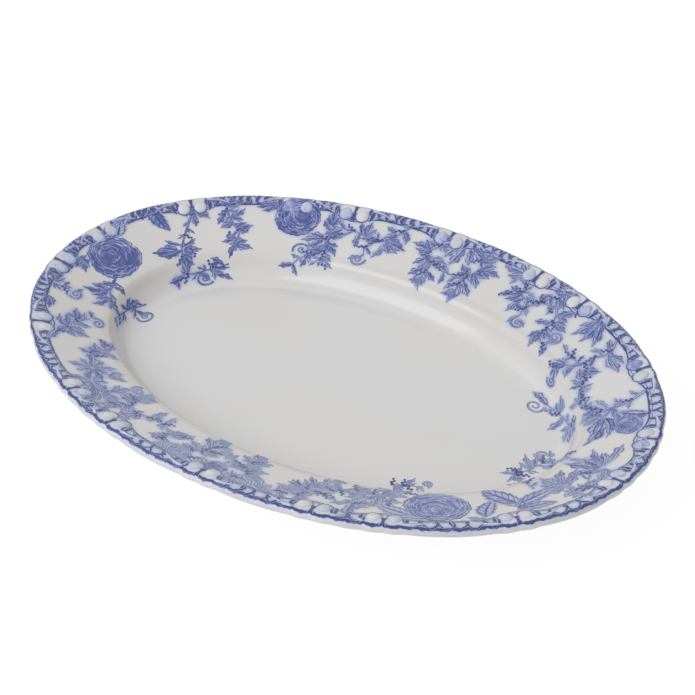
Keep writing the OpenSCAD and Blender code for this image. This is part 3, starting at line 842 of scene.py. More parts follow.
def lay_roses(sheet, form):
    """Roses seen from above: rings of broad petals, each ring smaller, higher and further off the
    middle than the last."""
    rings = ((9, 0.35, 1.0, 29, 0.03), (7, 0.3, 0.89, 38, 0.035), (6, 0.2, 0.76, 44, 0.03),
             (5, 0.1, 0.62, 50, 0.02), (4, 0.06, 0.47, 58, 0.0), (3, 0.04, 0.32, 70, 0.0),
             (2, 0.03, 0.18, 80, 0.0))
    leaning, squash, ring_turn, least_tone = 0.30, 0.95, 31, 0.65
    for eighth, inset, radius, turn in ROSES:
        rng = np.random.default_rng(int(radius * 10))
        for k, (count, inner, outer, spread, wave) in enumerate(rings):
            x, y, u, v = petal_ring(count, inner, outer, spread, wave)
            lean = leaning * (1 - outer) * radius
            petal = (np.arange(count) % 3).reshape(-1, 1, 1)
            lift = LIFTS["rose"] + 0.035 * k + 0.006 * petal
            tone = max(tone_at(eighth), least_tone) + rng.uniform(-0.3, 0.25, count)
            grow = rng.uniform(0.86, 1.1, count).reshape(-1, 1, 1) if k else 1.0
            angle = turn + ring_turn * k + rng.uniform(-12, 12, count)
            sheet.turned(*form.spot(eighth, inset), angle, x * radius * grow + lean,
                         y * radius * squash * grow - lean * 0.5, u, v, tone, lift)


def lay_curls(sheet, form, curls):
    """Curled tendrils: a spiral whose radius falls from the size to a seventh of it."""
    f = np.linspace(0, 1, 44)
    turns, stretched = 1.55, 1.15
    for eighth, inset, reach, angle, hand in curls:
        radius = reach * (1 - 0.86 * f**0.8)
        start = np.radians(angle - 90 * hand)
        turn = start + hand * f * turns * 2 * np.pi
        run, depth = form.spot(eighth, inset)
        depth = depth + -reach * math.sin(start) + radius * np.sin(turn)
        x = -reach * math.cos(start) + radius * np.cos(turn) * stretched
        run = run + x / form.stretch(run, form.inset_of(depth))
        sheet.ribbon(run, depth, 1.35 - 0.6 * f, tone_at(eighth), LIFTS["curl"])


def lay_berries(sheet, form, berries):
    """Berries in strings: round dots, one beside the next, getting smaller along the string."""
    rng = np.random.default_rng(11)
    spacing, shrink, strayed = 1.5, 0.4, 0.15
    angle = np.linspace(0, 2 * np.pi, 9)
    ring = np.array([0.15, 1.0])[:, None]
    for eighth, inset, direction, count, reach in berries:
        k = np.arange(count)
        radius = (reach * 1.25 * (1 - shrink * k / count)).reshape(-1, 1, 1)
        ahead = k * reach * spacing
        side = (k % 2 - 0.5) * reach + rng.uniform(-strayed, strayed, count)
        c, s = math.cos(math.radians(direction)), math.sin(math.radians(direction))
        sheet.lay(*form.spot(eighth, inset),
                  ring * np.cos(angle) * radius + (ahead * c - side * s).reshape(-1, 1, 1),
                  ring * np.sin(angle) * radius + (ahead * s + side * c).reshape(-1, 1, 1),
                  ring, angle / np.pi - 1, tone_at(eighth, 0.2), LIFTS["berry"])


def lay_stems(sheet, form, stems, width):
    """Stems: ribbons that taper to a share of their width."""
    tip = 0.6
    for share, points in stems:
        path = smooth_path(points, 14 * len(points)).T
        taper = np.linspace(1, tip, len(path[0]))
        sheet.ribbon(*form.spot(*path), width * share * taper, tone_at(path[0]), LIFTS["stem"])


def device_parts():
    """Stems, leaves, curls and berries of the mirrored devices under a bead pair."""
    stems, leaves, curls, berries = [], [], [], []
    for middle in DEVICES:
        for m in (-1, 1):
            at = lambda d: middle + m * d
            turn = lambda a: a if m > 0 else 180 - a
            stems += [(share, [(at(d), inset) for d, inset in points])
                      for share, points in DEVICE_STEMS]
            leaves += [(kind, at(d), inset, long, ratio, turn(a), *added)
                       for kind, d, inset, long, ratio, a, *added in DEVICE_LEAVES]
            curls.append((at(0.13), 30, 3.4, turn(30), m))
            berries += [(at(d), inset, turn(a), *rest) for d, inset, a, *rest in DEVICE_BERRIES]
        leaves.append((P, middle, 8, 13, 0.4, 90, -0.3))
    return stems, leaves, curls, berries


def border(form, look):
    """The whole printed border, as the sheets that become its pieces."""
    stems, leaves, curls, berries = (
        [*own, *more] for own, more in zip((STEMS, LEAVES, CURLS, BERRIES), device_parts()))
    small_leaves, more_berries = sprigs(form, stems)
    sheets = {name: Print(form, look.film / MM) for name in INKS}
    lay_edge(sheets["edge"], form, look)
    lay_stems(sheets["stems"], form, stems, look.stem_w / MM)
    lay_leaves(sheets["leaves"], form, leaves)
    lay_leaves(sheets["sprigs"], form, small_leaves)
    lay_fans(sheets["sprigs"], form)
    lay_roses(sheets["roses"], form)
    lay_curls(sheets["curls"], form, curls)
    lay_berries(sheets["berries"], form, berries + more_berries)
    for sheet in sheets.values():
        sheet.finish_layout()
    return sheets


def lay_edge(sheet, form, look):
    """Lines along the edge band: a wavy outer line, brush strokes that cross the band to and fro,
    and an inner line that arches round each bead pair, with a knot between the two beads."""
    line, pitch, beads = look.line_w / MM, look.lattice / MM, form.bead_pitch
    outer_line, inner_line, second_line = 0.9, 7.4, 6.0
    stroke = lambda kind, run, inset, width, tone: sheet.ribbon(
        run, form.depth_of(inset), width, tone, LIFTS[kind])
    rng = np.random.default_rng(8)
    f, t = np.linspace(0, 1, 15), np.linspace(-0.3, np.pi + 0.3, 21)
    belly, blot = np.sin(np.pi * f) ** 0.7, np.cos(np.pi * (f - 0.5))
    pairs = np.append(form.pairs, form.pairs[0] + form.round)
    for first, last in zip(pairs, pairs[1:]):
        gap = last - first
        run = np.linspace(first, last, int(gap / 0.5))
        near, tone = form.from_pair(run), tone_at(form.eighth(run))
        front = 1 - tone
        waves = max(round(gap / (1.6 * pitch)), 2)
        scallop = np.abs(np.sin(np.pi * waves * (run - first) / gap)) ** 0.7
        blots = 1 + 0.3 * np.sin(run * 1.9) * np.sin(run * 0.63 + 1)
        stroke("line", run, outer_line + 0.5 * front + (0.2 + 0.6 * front) * (1 - scallop),
               line * (2.8 + 2.8 * np.clip(front, 0, 1)) * blots, np.minimum(tone + 0.6, 1))
        arch = 4.0 * bell(near, 5.0) + 0.8 * bell(near - 8.5, 3)
        swell = np.clip((near - 9) / 8, 0, 1) * (0.6 + 0.4 * np.sin(run * 0.9))
        stroke("line", run, inner_line + arch - 0.5 * tone * swell,
               line * (1.6 + 4.2 * tone * swell), tone)
        stroke("second line", run, second_line + 1.03 * arch, line * 0.8, tone - 0.2)
        a, b = first + beads - 0.3, last - beads + 0.3
        n = max(round((b - a) / (pitch * (1 + 0.8 * front[len(front) // 2]))), 1) * 2
        knots = a + np.arange(n + 1) * (b - a) / n
        knots[1:-1] += rng.uniform(-0.36, 0.36, n - 1) * (b - a) / n
        for j, (here, there) in enumerate(zip(knots, knots[1:])):
            lean, start, end = (1, 1.3, 6.8) if j % 2 else (-1, 7.0, 1.5)
            deep = start + (end - start) * f**1.25 + rng.uniform(-0.8, 0.6)
            eighth = form.eighth(here)
            heavy = tone_at(eighth) * rng.uniform(0.3, 1.9)
            bow = lean * (rng.uniform(0.7, 1.9) + 2 * max(0.6 - tone_at(eighth), 0))
            stroke("stroke", here + (there - here) * f + bow * belly, deep,
                   0.35 + (0.4 + 1.5 * heavy) * belly, tone_at(eighth, 0.1))
            if rng.uniform() < 0.4:
                stroke("blot", here + 2.2 * (f - 0.5), start + 0 * f,
                       0.3 + (0.7 + 1.3 * heavy) * blot, tone_at(eighth, 0.2))
        eighth = form.eighth(first)
        dark = tone_at(eighth)
        stroke("stroke", first + 0 * f, 1.2 + (3 + 7 * min(dark, 1)) * f,
               1.5 + 4.6 * np.abs(f - 0.45) ** 1.4, tone_at(eighth, 0.3))
        for m in (-1, 1):
            wide = form.bead_w / 2 * 1.12 * (1 + 0.16 * np.sin(t))
            stroke("bead ring", first + m * beads / 2 + wide * np.cos(t),
                   form.bead_inset + form.bead_l / 2 * 1.14 * np.sin(t),
                   (0.25 + 0.35 * dark) * (0.3 + np.sin((t + 0.3) * 0.84)), tone_at(eighth, 0.1))
            stroke("stroke", first + m * (beads + 0.2 + 0.7 * belly), 1.3 + 8.4 * f,
                   (1.1 + 1.4 * dark) * belly + 0.2, tone_at(eighth, 0.15))
            for start, end in ((2.6, 2.8), (3.8, 4.6)):
                stroke("blot", first + m * (beads + 0.4 + 6.5 * f),
                       start + (end - start) * f**1.5, 0.7 * (1 - 0.6 * f), tone_at(eighth))


def sprigs(form, stems):
    """Small leaves and berry strings that stand along every stem, first on one side, then on the
    other, as further rows of the lists; they are smaller round the -X end."""
    rng = np.random.default_rng(5)
    first, spacing, ratio = 2.0, 4.6, 0.36
    leaves, berries = [], []
    for _, points in stems:
        path = smooth_path(points, 60)
        run, depth = form.spot(*path.T)
        dx, dy = np.gradient(run) * form.stretch(run, path[:, 1]), np.gradient(depth)
        along = np.append(0, np.cumsum(np.hypot(dx, dy)[1:]))
        for k, at in enumerate(np.arange(first, along[-1], spacing)):
            i = np.searchsorted(along, at)
            place = tuple(path[i])
            side = 1 if k % 2 else -1
            heading = math.degrees(math.atan2(dy[i], dx[i]))
            kind = (L, P, T, P, P)[rng.integers(5)]
            angle = heading + side * rng.uniform(30, 65)
            small = 1 - 0.3 * bell(place[0] - 5.0, 0.5)
            leaves.append((kind, *place, rng.uniform(4.6, 7.4) * small, ratio, angle,
                           rng.uniform(-0.3, 0.25)))
            if k % 3 == 1:
                berries.append((*place, heading - side * rng.uniform(30, 70), 5, 0.8))
    return leaves, berries


# Leaflets of each kind of leaf: turn, share of the length, share of the width
LEAFLETS = {
    P: ((0, 1, 1),), S: ((0, 1, 1),),
    T: ((6, 1, 0.62), (-40, 0.66, 0.62)),
    L: ((0, 1, 0.62), (-41, 0.70, 0.6), (38, 0.72, 0.6)),
}


# How strongly blue is flushed over the two beads of each pair
FLUSHED = (
    (0.8, 0.3), (0.3, 0.9), (0.7, 0), (0.05, 0.5), (0.3, 0.6), (0, 0.6), (0.5, 0.8), (0.05, 0),
    (0.5, 0.4), (0.5, 0.6), (0.4, 0.1), (0.2, 0.6), (0.1, 0.5), (0.4, 0.05), (0, 0.4), (0, 0.4),
    (0.4, 0.1), (0.05, 0.6),
)


# ---- Materials ----

class Value:
    """A shader socket that takes part in Python sums; each operation adds a Math node."""

    def __init__(self, finish, socket):
        self.finish, self.socket = finish, socket

    def __add__(self, other): return self.finish.sum("ADD", self, other)
    def __radd__(self, other): return self.finish.sum("ADD", other, self)
    def __sub__(self, other): return self.finish.sum("SUBTRACT", self, other)
    def __rsub__(self, other): return self.finish.sum("SUBTRACT", other, self)
    def __mul__(self, other): return self.finish.sum("MULTIPLY", self, other)
    def __rmul__(self, other): return self.finish.sum("MULTIPLY", other, self)
    def __abs__(self): return self.finish.sum("ABSOLUTE", self)
    def __mod__(self, other): return self.finish.sum("FLOORED_MODULO", self, other)
    def __gt__(self, other): return self.finish.sum("GREATER_THAN", self, other)

    def step(self, low, high):
        """Eased rise from 0 at low to 1 at high."""
        return self.finish.node("MapRange", {"Value": self, "From Min": low, "From Max": high},
                                interpolation_type="SMOOTHSTEP")


class Finish:
    """A material or world, and the nodes in it."""

    def __init__(self, name, kind="materials"):
        self.block = getattr(bpy.data, kind).new(name)
        self.block.use_nodes = True
        self.tree = self.block.node_tree
        self.tree.nodes.clear()

    def node(self, kind, inputs=None, output=0, **settings):
        """Adds any node: its settings first, then its sockets' values or links."""
        node = self.tree.nodes.new("ShaderNode" + kind)
        for key, value in settings.items():
            setattr(node, key, value)
        for key, value in (inputs or {}).items():
            socket = node.inputs[key]
            if isinstance(value, Value):
                self.tree.links.new(value.socket, socket)
            elif hasattr(value, "__len__"):
                wanted = len(socket.default_value)
                socket.default_value = (*value, *(1.0,) * (wanted - len(value)))
            else:
                socket.default_value = value
        return Value(self, node.outputs[output]) if node.outputs else None

    def sum(self, operation, *values):
        """A Math node."""
        return self.node("Math", dict(enumerate(values)), operation=operation)

    def most(self, *values):
        """The greatest of some values."""
        return functools.reduce(lambda a, b: self.sum("MAXIMUM", a, b), values)

    def mix(self, factor, a, b):
        """Blend of two colours."""
        return self.node("Mix", {0: factor, 6: a, 7: b}, 2, data_type="RGBA")

    def here(self):
        """Coordinates on the piece."""
        return self.node("TexCoord", output="Object")

    def noise(self, scale, detail=2.0, rough=0.5):
        """Cloudy noise on the piece's own coordinates, so many waves a metre."""
        return self.node("TexNoise", {"Vector": self.here(), "Scale": scale, "Detail": detail,
                                      "Roughness": rough})

    def value(self, name):
        """A named value of the mesh."""
        return self.node("Attribute", output="Fac", attribute_name=name)

    def pattern(self):
        """The two coordinates of the Pattern map."""
        split = self.node("SeparateXYZ", {0: self.node("UVMap", uv_map="Pattern")})
        return split, Value(self, split.socket.node.outputs[1])

    def rays(self, *kinds):
        """1 for rays of these kinds, 0 for others."""
        return self.most(*(self.node("LightPath", output=f"Is {kind} Ray") for kind in kinds))

    def glazed(self, base, rough, height, strength, distance, index=1.52):
        """Closes the material with a glossy shader, bumped by a height."""
        normal = self.node("Bump", {"Height": height, "Strength": strength, "Distance": distance})
        shader = self.node("BsdfPrincipled", {"Base Color": base, "Roughness": rough,
                                              "IOR": index, "Normal": normal})
        self.node("OutputMaterial", {"Surface": shader})
        return self.block


def china(name, colours):
    """White glaze over clay: faint warm and cool clouds, painted shade along the shoulder and over
    the -X end, a blue halo round the print, rare pin-prick specks, and the slight waviness of a
    poured glaze in its gloss."""
    f = Finish(name)
    base = f.mix(f.noise(14, 3).step(0.35, 0.68) * 0.45, colours.glaze, colours.glaze_warm)
    # Painted shade: darker, warmer white along the shoulder and over the -X end.
    base = f.mix(f.value("verge"), base, colours.glaze_pooled)
    spread = f.value("wash") * (0.7 + 0.6 * f.noise(700, 2))
    base = f.mix(spread.step(0.0, 0.6) * 0.7, base, colours.halo)
    cells = f.node("TexVoronoi", {"Vector": f.here(), "Scale": 62}, "Distance")
    rare = f.noise(31, 0) > 0.62
    base = f.mix((1 - cells.step(0.006, 0.016)) * rare * 0.5, base, colours.speck)
    return f.glazed(base, 0.09 + 0.07 * f.noise(120, 3),
                    f.noise(55, 2) + 0.25 * f.noise(310, 1), 0.12, 0.0004)


def relief_china(name, colours):
    """Glaze on the beads and scrolls: thin and white on top, with blue pooled round the foot and
    flushed over some of them, in dark streaks where the flush is strong."""
    f = Finish(name)
    pooled = 1 - f.value("lift").step(-0.1, 0.75)
    flush = f.value("flush") * (1.9 * f.noise(420, 3) - 0.1)
    base = f.mix(f.noise(40, 3).step(0.35, 0.7) * 0.4, colours.glaze, colours.glaze_warm)
    amount = pooled * (0.6 + 0.6 * f.noise(500, 2)) * (0.1 + 0.8 * f.value("tone")) + flush
    base = f.mix(f.sum("MINIMUM", amount, 0.85), base, colours.halo)
    streak = (f.value("flush") + (f.noise(330, 3, 0.6) - 0.5) * 1.6).step(0.6, 1.0)
    base = f.mix(streak * 0.8, base, colours.ink_mid)
    return f.glazed(base, 0.08 + 0.07 * f.noise(200, 2), f.noise(160, 2), 0.15, 0.0003)


def foot_china(name, colours):
    """The foot ring: glazed on its sides, ground to bare grainy clay where it bears."""
    f = Finish(name)
    z = f.node("SeparateXYZ", {0: f.here()}, 2)
    grain = f.noise(1400, 4, 0.7)
    bare = 1 - (z + 0.00012 * f.noise(300, 2)).step(0.00012, 0.00034)
    clay = f.mix(grain.step(0.3, 0.75), colours.clay, colours.clay_dark)
    return f.glazed(f.mix(bare, colours.glaze, clay), 0.1 + 0.65 * bare, grain * bare, 0.4, 0.0001,
                    1.5)


def printed(name, colours, motif):
    """Ink under the glaze. A motif gives three shares from the pattern's u and v: the line, 1 where
    it is engraved; the fill, which shades the open parts from pale to middle blue; and the
    margin, 1 where the ink has bled away at the rim. Its tone darkens, and noise thins the ink."""
    f = Finish(name)
    line, fill, margin = motif(f, *f.pattern())
    tone, cloud = f.value("tone"), f.noise(230, 3, 0.6)
    fill = fill * 0.8 + (tone - 0.65) * 0.9 + (cloud - 0.5) * 2.2
    base = f.mix(fill.step(0.0, 1.0), colours.ink_pale, colours.ink_mid)
    base = f.mix((fill - 0.7).step(0.0, 0.8) * 0.85, base, colours.ink_dark)
    depth = line * (0.80 + 0.28 * tone) + (cloud - 0.5) * 0.6
    base = f.mix(depth.step(0.05, 0.95), base, colours.ink_dark)
    base = f.mix(f.noise(1500, 2, 0.6).step(0.6, 0.8) * 0.25, base, colours.ink_pale)
    base = f.mix(margin * 0.9, base, f.mix(0.5, colours.glaze, colours.halo))
    return f.glazed(base, 0.10 + 0.06 * f.noise(120, 3), f.noise(55, 2), 0.12, 0.0004)


def leaf_ink(f, u, v):
    """Leaves: dark outline, midrib and slanting side veins, with one half shaded."""
    side = abs(v)
    vein = (1 - abs((u * 6 - side * 1.3) % 1 - 0.5).step(0.05, 0.2)) * 0.8
    line = f.sum("MAXIMUM", side.step(0.55, 0.75), f.most(1 - side.step(0.06, 0.2), vein))
    return (line, 0.15 + 0.6 * v.step(-0.15, 0.25) + 0.25 * (1 - u),
            (side + 0.3 * u.step(0.9, 1)).step(0.7, 1.02))


def stem_ink(f, u, v):
    """Stems: two dark edges and a pale heart with short cross strokes."""
    stroke = (1 - abs((u * 0.8 + v * 0.2) % 1 - 0.5).step(0.08, 0.2)) * v.step(-0.2, 0.3)
    return (f.most(abs(v).step(0.3, 0.6), stroke * 0.8), 0.25 + 0.4 * v.step(-0.5, 0.5),
            abs(v).step(0.72, 1.0))


def petal_ink(f, u, v):
    """Petals: shaded and finely hatched, with a pale rim edged by a line."""
    rim = u.step(0.92, 0.97) + abs(v).step(0.9, 0.97) * u.step(0.3, 0.6)
    hatch = 1 - abs((v * 5.5 + f.noise(300, 1) * 0.8) % 1 - 0.5).step(0.08, 0.3)
    hatch = hatch * (1 - u.step(0.72, 0.9))
    fold = 1 - abs((u * 2.4 + v * 0.5 + f.noise(170, 2) * 1.5) % 1 - 0.5).step(0.03, 0.2)
    return (f.most(rim * 0.8, hatch * 0.8),
            1.25 - 1.1 * u.step(0.84, 0.95) - 0.9 * fold * u.step(0.05, 0.3), 0.0)


def berry_ink(f, u, v):
    """Berries: dark, with a small paler heart."""
    return 0.6 + 0.4 * u.step(0.2, 0.5), 0.9, u.step(0.78, 1.0)


def edge_ink(f, u, v):
    """Lines along the edge: solid, with softly bled sides."""
    return (1.15 - 0.35 * abs(v)) * (0.6 + 0.8 * f.noise(420, 2)), 0.7, abs(v).step(0.6, 1.0)


INKS = {"edge": edge_ink, "stems": stem_ink, "leaves": leaf_ink, "sprigs": leaf_ink,
        "roses": petal_ink, "berries": berry_ink, "curls": stem_ink}


def stand(name, data, azimuth, elevation, distance):
    """Adds a lamp or camera that looks at the middle from a distance. Azimuth 0 looks along +Y, 90
    along -X."""
    ob = bpy.data.objects.new(name, data)
    bpy.context.scene.collection.objects.link(ob)
    a, e = math.radians(azimuth), math.radians(elevation)
    away = Vector((math.sin(a) * math.cos(e), -math.cos(a) * math.cos(e), math.sin(e)))
    ob.location = Vector(LOOKED_AT) + away * distance
    ob.rotation_euler = away.to_track_quat("Z", "Y").to_euler()
    return ob


# ---- Operators ----

class PlatterOperator:
    """What the platter's operators share."""
    bl_options = {"REGISTER", "UNDO"}


def shared(context):
    """The form, the colours, the section grid, its halo and the sheets of the print. They are
    worked out once, and again only when a size has been changed."""
    scene = context.scene
    sizes, look = scene.platter_sizes, scene.platter_print
    key = [getattr(group, name) for group in (sizes, look) for name in group.__annotations__]
    if _shared.get("key") != key:
        form = Form(sizes)
        section, sheets = Section(form), border(form, look)
        wash = section.halo(sheets.values(), look.halo / MM)
        _shared.update(key=key, form=form, rest=(section, wash, sheets))
    return (_shared["form"], scene.platter_colours, *_shared["rest"])


_shared = {}


def body_piece(name, rows, section, wash):
    """A ring-shaped piece of the body: some rows of the section, closed by its seam walls."""
    # The values carry the blue halo and the painted shade along the shoulder and over the -X end.
    return make_mesh(name, *skin(section.points[None, rows]), section.normals[rows].reshape(-1, 3),
                     {"wash": wash[rows].ravel(), "verge": section.verge()[rows].ravel()})


def relief_piece(node, glaze, colours, points, ends, rise, end_rise, tone, flush):
    """Relief solids on the band, one for each copy of a grid and its two end points, with their
    share of the full rise and each copy's tone and flush."""
    copies = len(points)
    each = points[0].size // 3 + 2
    rise = np.broadcast_to(rise, points.shape[:3]).reshape(copies, -1)
    rise = np.concatenate([rise, np.tile(end_rise, (copies, 1))], 1).ravel()
    ob = make_mesh(node + "_glazed", *skin(points, ends), None,
                   {"lift": rise, "tone": np.repeat(tone, each), "flush": np.repeat(flush, each)})
    settle(ob, relief_china(glaze, colours), "relief_china", node)


class PLATTER_OT_well(PlatterOperator, bpy.types.Operator):
    """Flat floor of the well, from the foot of the cove to the middle"""
    bl_idname = "platter.well"
    bl_label = "Well floor"

    def execute(self, context):
        form, colours, section, wash, _ = shared(context)
        turn = form.turn_at(section.run)
        rows = [np.stack([*form.oval(turn, s), np.full(section.cols, form.height_at(s))], -1)
                for s in form.floor_inset + np.array([4.5, 2.8, 1.6, 0.7])]
        shares = np.array([0.06, 0.2, 0.4, 0.6, 0.8])
        level = np.array([0, 0, 1])
        drawn = lambda row, shares: row * (shares[:, None, None] * (1 - level) + level)
        upper = np.concatenate([drawn(rows[0], shares), rows, section.points[:1]])
        lower = drawn(section.points[-1], np.append(1, shares[::-1]))
        grid = np.concatenate([upper, lower])
        poles = grid[[0, -1], 0] * level
        slope = np.gradient(np.concatenate([upper, section.points[1:2]]), axis=0)[:-1]
        tilt = np.cross(slope, np.roll(upper, -1, 1) - np.roll(upper, 1, 1))
        tilt *= np.sign(tilt[..., 2:]) / np.linalg.norm(tilt, axis=-1, keepdims=True)
        top = len(upper) - 1
        normals = np.zeros_like(grid)
        normals[:top, :, 2], normals[top + 1:, :, 2] = 1, -1
        normals[len(shares):top] = tilt[len(shares):top]
        normals[top] = section.normals[0]
        normals = np.concatenate([normals.reshape(-1, 3), [level, -level]])
        washed = np.zeros(grid.shape[:2])
        washed[top] = wash[0]
        ob = make_mesh("well_floor_glazed", *skin(grid[None], poles[None]), normals,
                       {"wash": np.append(washed.ravel(), [0, 0])})
        settle(ob, china("white_glaze_well", colours), "glazed_china", "well_floor")
        return {"FINISHED"}


class PLATTER_OT_flange(PlatterOperator, bpy.types.Operator):
    """Flange, shoulder and cove, above and below"""
    bl_idname = "platter.flange"
    bl_label = "Flange and cove"

    def execute(self, context):
        _, colours, section, wash, _ = shared(context)
        rows = np.r_[section.under_row:section.rows, 0:section.band_row + 1]
        ob = body_piece("flange_glazed", rows, section, wash)
        settle(ob, china("white_glaze_flange", colours), "glazed_china", "flange")
        return {"FINISHED"}


class PLATTER_OT_edge(PlatterOperator, bpy.types.Operator):
    """Moulded band and rolled, lobed edge"""
    bl_idname = "platter.edge"
    bl_label = "Moulded edge"

    def execute(self, context):
        _, colours, section, wash, _ = shared(context)
        rows = np.arange(section.band_row, section.under_row + 1)
        ob = body_piece("edge_moulding_glazed", rows, section, wash)
        settle(ob, china("white_glaze_edge", colours), "glazed_china", "edge_moulding")
        return {"FINISHED"}


class PLATTER_OT_beads(PlatterOperator, bpy.types.Operator):
    """Pairs of relief beads where two lobes of the edge meet"""
    bl_idname = "platter.beads"
    bl_label = "Edge beads"

    def execute(self, context):
        form, colours, *_ = shared(context)
        sunk, buried = 0.04, -0.5
        share = np.array([0.1, 0.22, 0.36, 0.5, 0.62, 0.74, 0.85, 0.94, 1.0, 1.08])[:, None]
        turn = np.linspace(0, 2 * np.pi, 32, endpoint=False)[None, :]
        x = form.bead_w / 2 * 1.06 * (1 + 0.16 * np.sin(turn)) * np.cos(turn) * share
        y = form.bead_l / 2 * 1.04 * np.sin(turn) * share
        lift = form.bead_relief * (1 - np.minimum(share, 1) ** 2.3) ** 0.8 - sunk + 0 * turn
        x, y, lift = (np.concatenate([a, a[-1:], a[-1:] * 0.4]) for a in (x, y, lift))
        lift[-2:] = buried
        middles = np.concatenate([form.pairs + m * form.bead_pitch / 2 for m in (-1, 1)])
        points = form.place(middles[:, None, None] + x, form.bead_inset + y, lift)
        ends = form.place(np.stack([middles, middles], 1), form.bead_inset,
                          [form.bead_relief - sunk, buried])
        relief_piece("edge_beads", "bead_glaze", colours, points, ends, lift / form.bead_relief,
                     [1.0, 0], tone_at(form.eighth(middles)), np.array(FLUSHED).T.ravel())
        return {"FINISHED"}


class PLATTER_OT_scrolls(PlatterOperator, bpy.types.Operator):
    """Low relief scrolls that run out from each bead pair along the band"""
    bl_idname = "platter.scrolls"
    bl_label = "Edge scrolls"

    def execute(self, context):
        form, colours, *_ = shared(context)
        f = np.linspace(0.01, 0.995, 26)[:, None]
        across = np.array([1.12, 1, 0.8, 0.55, 0.28, 0, -0.28, -0.55, -0.8, -1, -1.12,
                           -0.6, 0, 0.6])
        under = np.arange(len(across)) > 10
        crest = (0.5 + 0.5 * np.cos(np.pi * np.minimum(np.abs(across), 1))) ** 0.8
        half = form.scroll_w / 2 * (0.35 + 0.65 * (1 - f)) * np.minimum(1, 0.45 + 4 * f)
        high = form.scroll_relief * (1 - 0.6 * f) * np.minimum(1, 0.3 + 5 * f)
        lift = np.where(under, -0.35, crest * high - 0.03)
        ahead = np.diff(np.append(form.pairs, form.pairs[0] + form.round))
        start = form.bead_pitch / 2 + form.bead_w / 2 + 0.6
        runs = []
        for m, gaps in ((1, ahead), (-1, np.roll(ahead, 1))):
            reach = np.minimum(form.scroll_l, gaps / 2 - start - 0.8)[:, None, None]
            runs.append(form.pairs[:, None, None] + m * (start + reach * f) + 0 * across)
        points = form.place(np.concatenate(runs), 2.6 + 3.7 * f ** 2 + half * across, lift)
        ends = np.stack([points[:, 0].mean(1), points[:, -1].mean(1)], 1)
        tone = tone_at(form.eighth(np.tile(form.pairs, 2)))
        relief_piece("edge_scrolls", "scroll_glaze", colours, points, ends,
                     np.clip(lift / form.scroll_relief, 0, 1), [0, 0], tone, 0.25 + 0.35 * tone)
        return {"FINISHED"}


class PLATTER_OT_foot(PlatterOperator, bpy.types.Operator):
    """Foot ring with rounded corners and a ground bearing face"""
    bl_idname = "platter.foot"
    bl_label = "Foot ring"

    def execute(self, context):
        form, colours, *_ = shared(context)
        out, round_r, high = form.floor_inset - 0.6 * form.foot_w, 0.55, form.foot_h + 0.25
        g = np.radians(np.linspace(0, 90, 5))
        side = np.stack([out + round_r * (1 - np.cos(g)), round_r * (1 - np.sin(g))], 1)
        other = np.stack([2 * out + form.foot_w - side[:, 0], side[:, 1]], 1)[::-1]
        place = lambda share, z: [out + form.foot_w * share, z]
        loop = np.concatenate([side, [place(0.35, 0), place(0.65, 0)], other,
                               [place(1, high), place(0, high)]])
        run = np.arange(0, 720) * form.round / 720
        x, y = form.oval(form.turn_at(run)[None], loop[:, :1])
        points = np.stack([x, y, np.broadcast_to(loop[:, 1:], x.shape)], -1)
        ob = make_mesh("foot_ring_ground", *skin(points[None]))
        settle(ob, foot_china("foot_glaze", colours), "bare_foot", "foot_ring")
        return {"FINISHED"}


class PLATTER_OT_print(PlatterOperator, bpy.types.Operator):
    """Printed border: edge lines, stems, leaves, roses, berries and curls"""
    bl_idname = "platter.border"
    bl_label = "Printed border"

    def execute(self, context):
        _, colours, _, _, sheets = shared(context)
        for name, sheet in sheets.items():
            sheet.mesh("print_" + name, printed("ink_" + name, colours, INKS[name]), "blue_print")
        return {"FINISHED"}


class PLATTER_OT_stage(bpy.types.Operator):
    """Pale floor, soft studio light and the camera"""
    bl_idname = "platter.stage"
    bl_label = "Studio"

    def execute(self, context):
        scene = context.scene
        scene.view_settings.view_transform = "Standard"
        square = np.array([[-1, -1, 0], [1, -1, 0], [1, 1, 0], [-1, 1, 0]])
        floor = make_mesh("floor", square * FLOOR_HALF, np.array([[0, 1, 2, 3]]))
        floor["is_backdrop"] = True
        f = Finish("pale_floor")
        glow = f.node("Emission", {"Color": (1, 1, 1), "Strength": FLOOR_GLOW})
        paint = f.node("BsdfDiffuse", {"Color": (FLOOR_WHITE,) * 3})
        seen = f.rays("Camera", "Glossy") * FLOOR_SEEN
        both = f.node("MixShader", {0: seen, 1: paint, 2: glow})
        f.node("OutputMaterial", {"Surface": both})
        floor.data.materials.append(f.block)
        f = Finish("studio", "worlds")
        scene.world = f.block
        light = f.node("Background", {"Color": SKY, "Strength": SKY_POWER})
        back = f.node("Background", {"Color": (1, 1, 1), "Strength": 1.0})
        seen = f.rays("Camera", "Glossy", "Transmission")
        f.node("OutputWorld", {"Surface": f.node("MixShader", {0: seen, 1: light, 2: back})})
        for name, azimuth, elevation, distance, breadth, power, colour in LAMPS:
            lamp = bpy.data.lights.new(name, "AREA")
            lamp.size, lamp.energy, lamp.color = breadth, power, colour
            stand(name, lamp, azimuth, elevation, distance)
        camera = bpy.data.cameras.new("camera")
        camera.sensor_width, camera.lens, camera.clip_start = SENSOR, LENS, 0.01
        scene.camera = stand("camera", camera, *VIEW)
        return {"FINISHED"}


OPERATORS = (PLATTER_OT_well, PLATTER_OT_flange, PLATTER_OT_edge, PLATTER_OT_beads,
             PLATTER_OT_scrolls, PLATTER_OT_foot, PLATTER_OT_print, PLATTER_OT_stage)


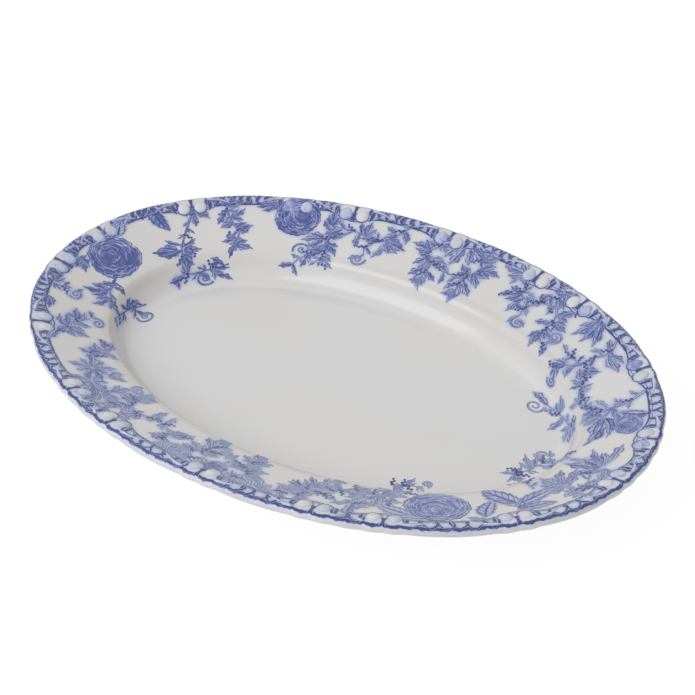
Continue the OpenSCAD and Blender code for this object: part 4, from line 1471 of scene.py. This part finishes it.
class PLATTER_PT_panel(bpy.types.Panel):
    """Lists the platter's sizes, colours and pieces"""
    bl_idname = "PLATTER_PT_panel"
    bl_label = "Serving platter"
    bl_space_type = "VIEW_3D"
    bl_region_type = "UI"
    bl_category = "Platter"

    def draw(self, context):
        for group in (context.scene.platter_sizes, context.scene.platter_print,
                      context.scene.platter_colours):
            column = self.layout.column(align=True)
            for name in group.__annotations__:
                column.prop(group, name)
        for operator in OPERATORS:
            self.layout.operator(operator.bl_idname)


GROUPS = {"platter_sizes": PlatterSizes, "platter_print": PlatterPrint,
          "platter_colours": PlatterColours}


def register():
    for cls in (*GROUPS.values(), *OPERATORS, PLATTER_PT_panel):
        bpy.utils.register_class(cls)
    for name, group in GROUPS.items():
        setattr(bpy.types.Scene, name, PointerProperty(type=group))


def unregister():
    for name in GROUPS:
        delattr(bpy.types.Scene, name)
    for cls in (PLATTER_PT_panel, *reversed(OPERATORS), *reversed(tuple(GROUPS.values()))):
        bpy.utils.unregister_class(cls)


def main():
    """Registers the add-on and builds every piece."""
    register()
    for operator in OPERATORS:
        group, name = operator.bl_idname.split(".")
        getattr(getattr(bpy.ops, group), name)()
    boxes = {"cad": CAD_BOX, "visual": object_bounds()}
    {key: [list(corner) for corner in box] for key, box in boxes.items()}


def skin(points, poles=None):
    """Closed skins on grids of copies by rows by columns, whose columns close up: their points and
    faces, turned outwards by the sign of each copy's volume. The last row joins the first, unless
    each copy has two poles that close its ends."""
    copies, rows, cols = points.shape[:3]
    points = points.reshape(copies, -1, 3)
    corner = lambda row, col: row % rows * cols + col % cols
    r, c = np.arange(rows if poles is None else rows - 1)[:, None], np.arange(cols)
    quads = np.stack([corner(r, c), corner(r, c + 1), corner(r + 1, c + 1), corner(r + 1, c)], -1)
    quads, tris = quads.reshape(-1, 4), np.zeros((0, 3), int)
    if poles is not None:
        points = np.concatenate([points, poles], 1)
        pole, last = np.full(cols, rows * cols), rows - 1
        tris = np.concatenate([np.stack([pole, corner(0, c + 1), corner(0, c)], -1),
                               np.stack([pole + 1, corner(last, c), corner(last, c + 1)], -1)])
    both = np.concatenate([quads[:, [0, 1, 2]], quads[:, [0, 2, 3]], tris])
    a, b, c = (points[:, both[:, k]] for k in range(3))
    inside_out = (np.einsum("kij,kij->k", a, np.cross(b, c)) < 0)[:, None, None]
    start = np.arange(copies)[:, None, None] * points.shape[1]
    faces = [np.where(inside_out, f[:, ::-1], f) + start for f in (quads, tris)]
    return [points.reshape(-1, 3)] + [f.reshape(-1, f.shape[-1]) for f in faces]


def graded(ends, counts):
    """Steps through the ends, with a count of steps for each stretch between two of them."""
    parts = [np.linspace(a, b, n, endpoint=False) for a, b, n in zip(ends, ends[1:], counts)]
    return np.append(np.concatenate(parts), ends[-1])


if __name__ == "__main__":
    main()
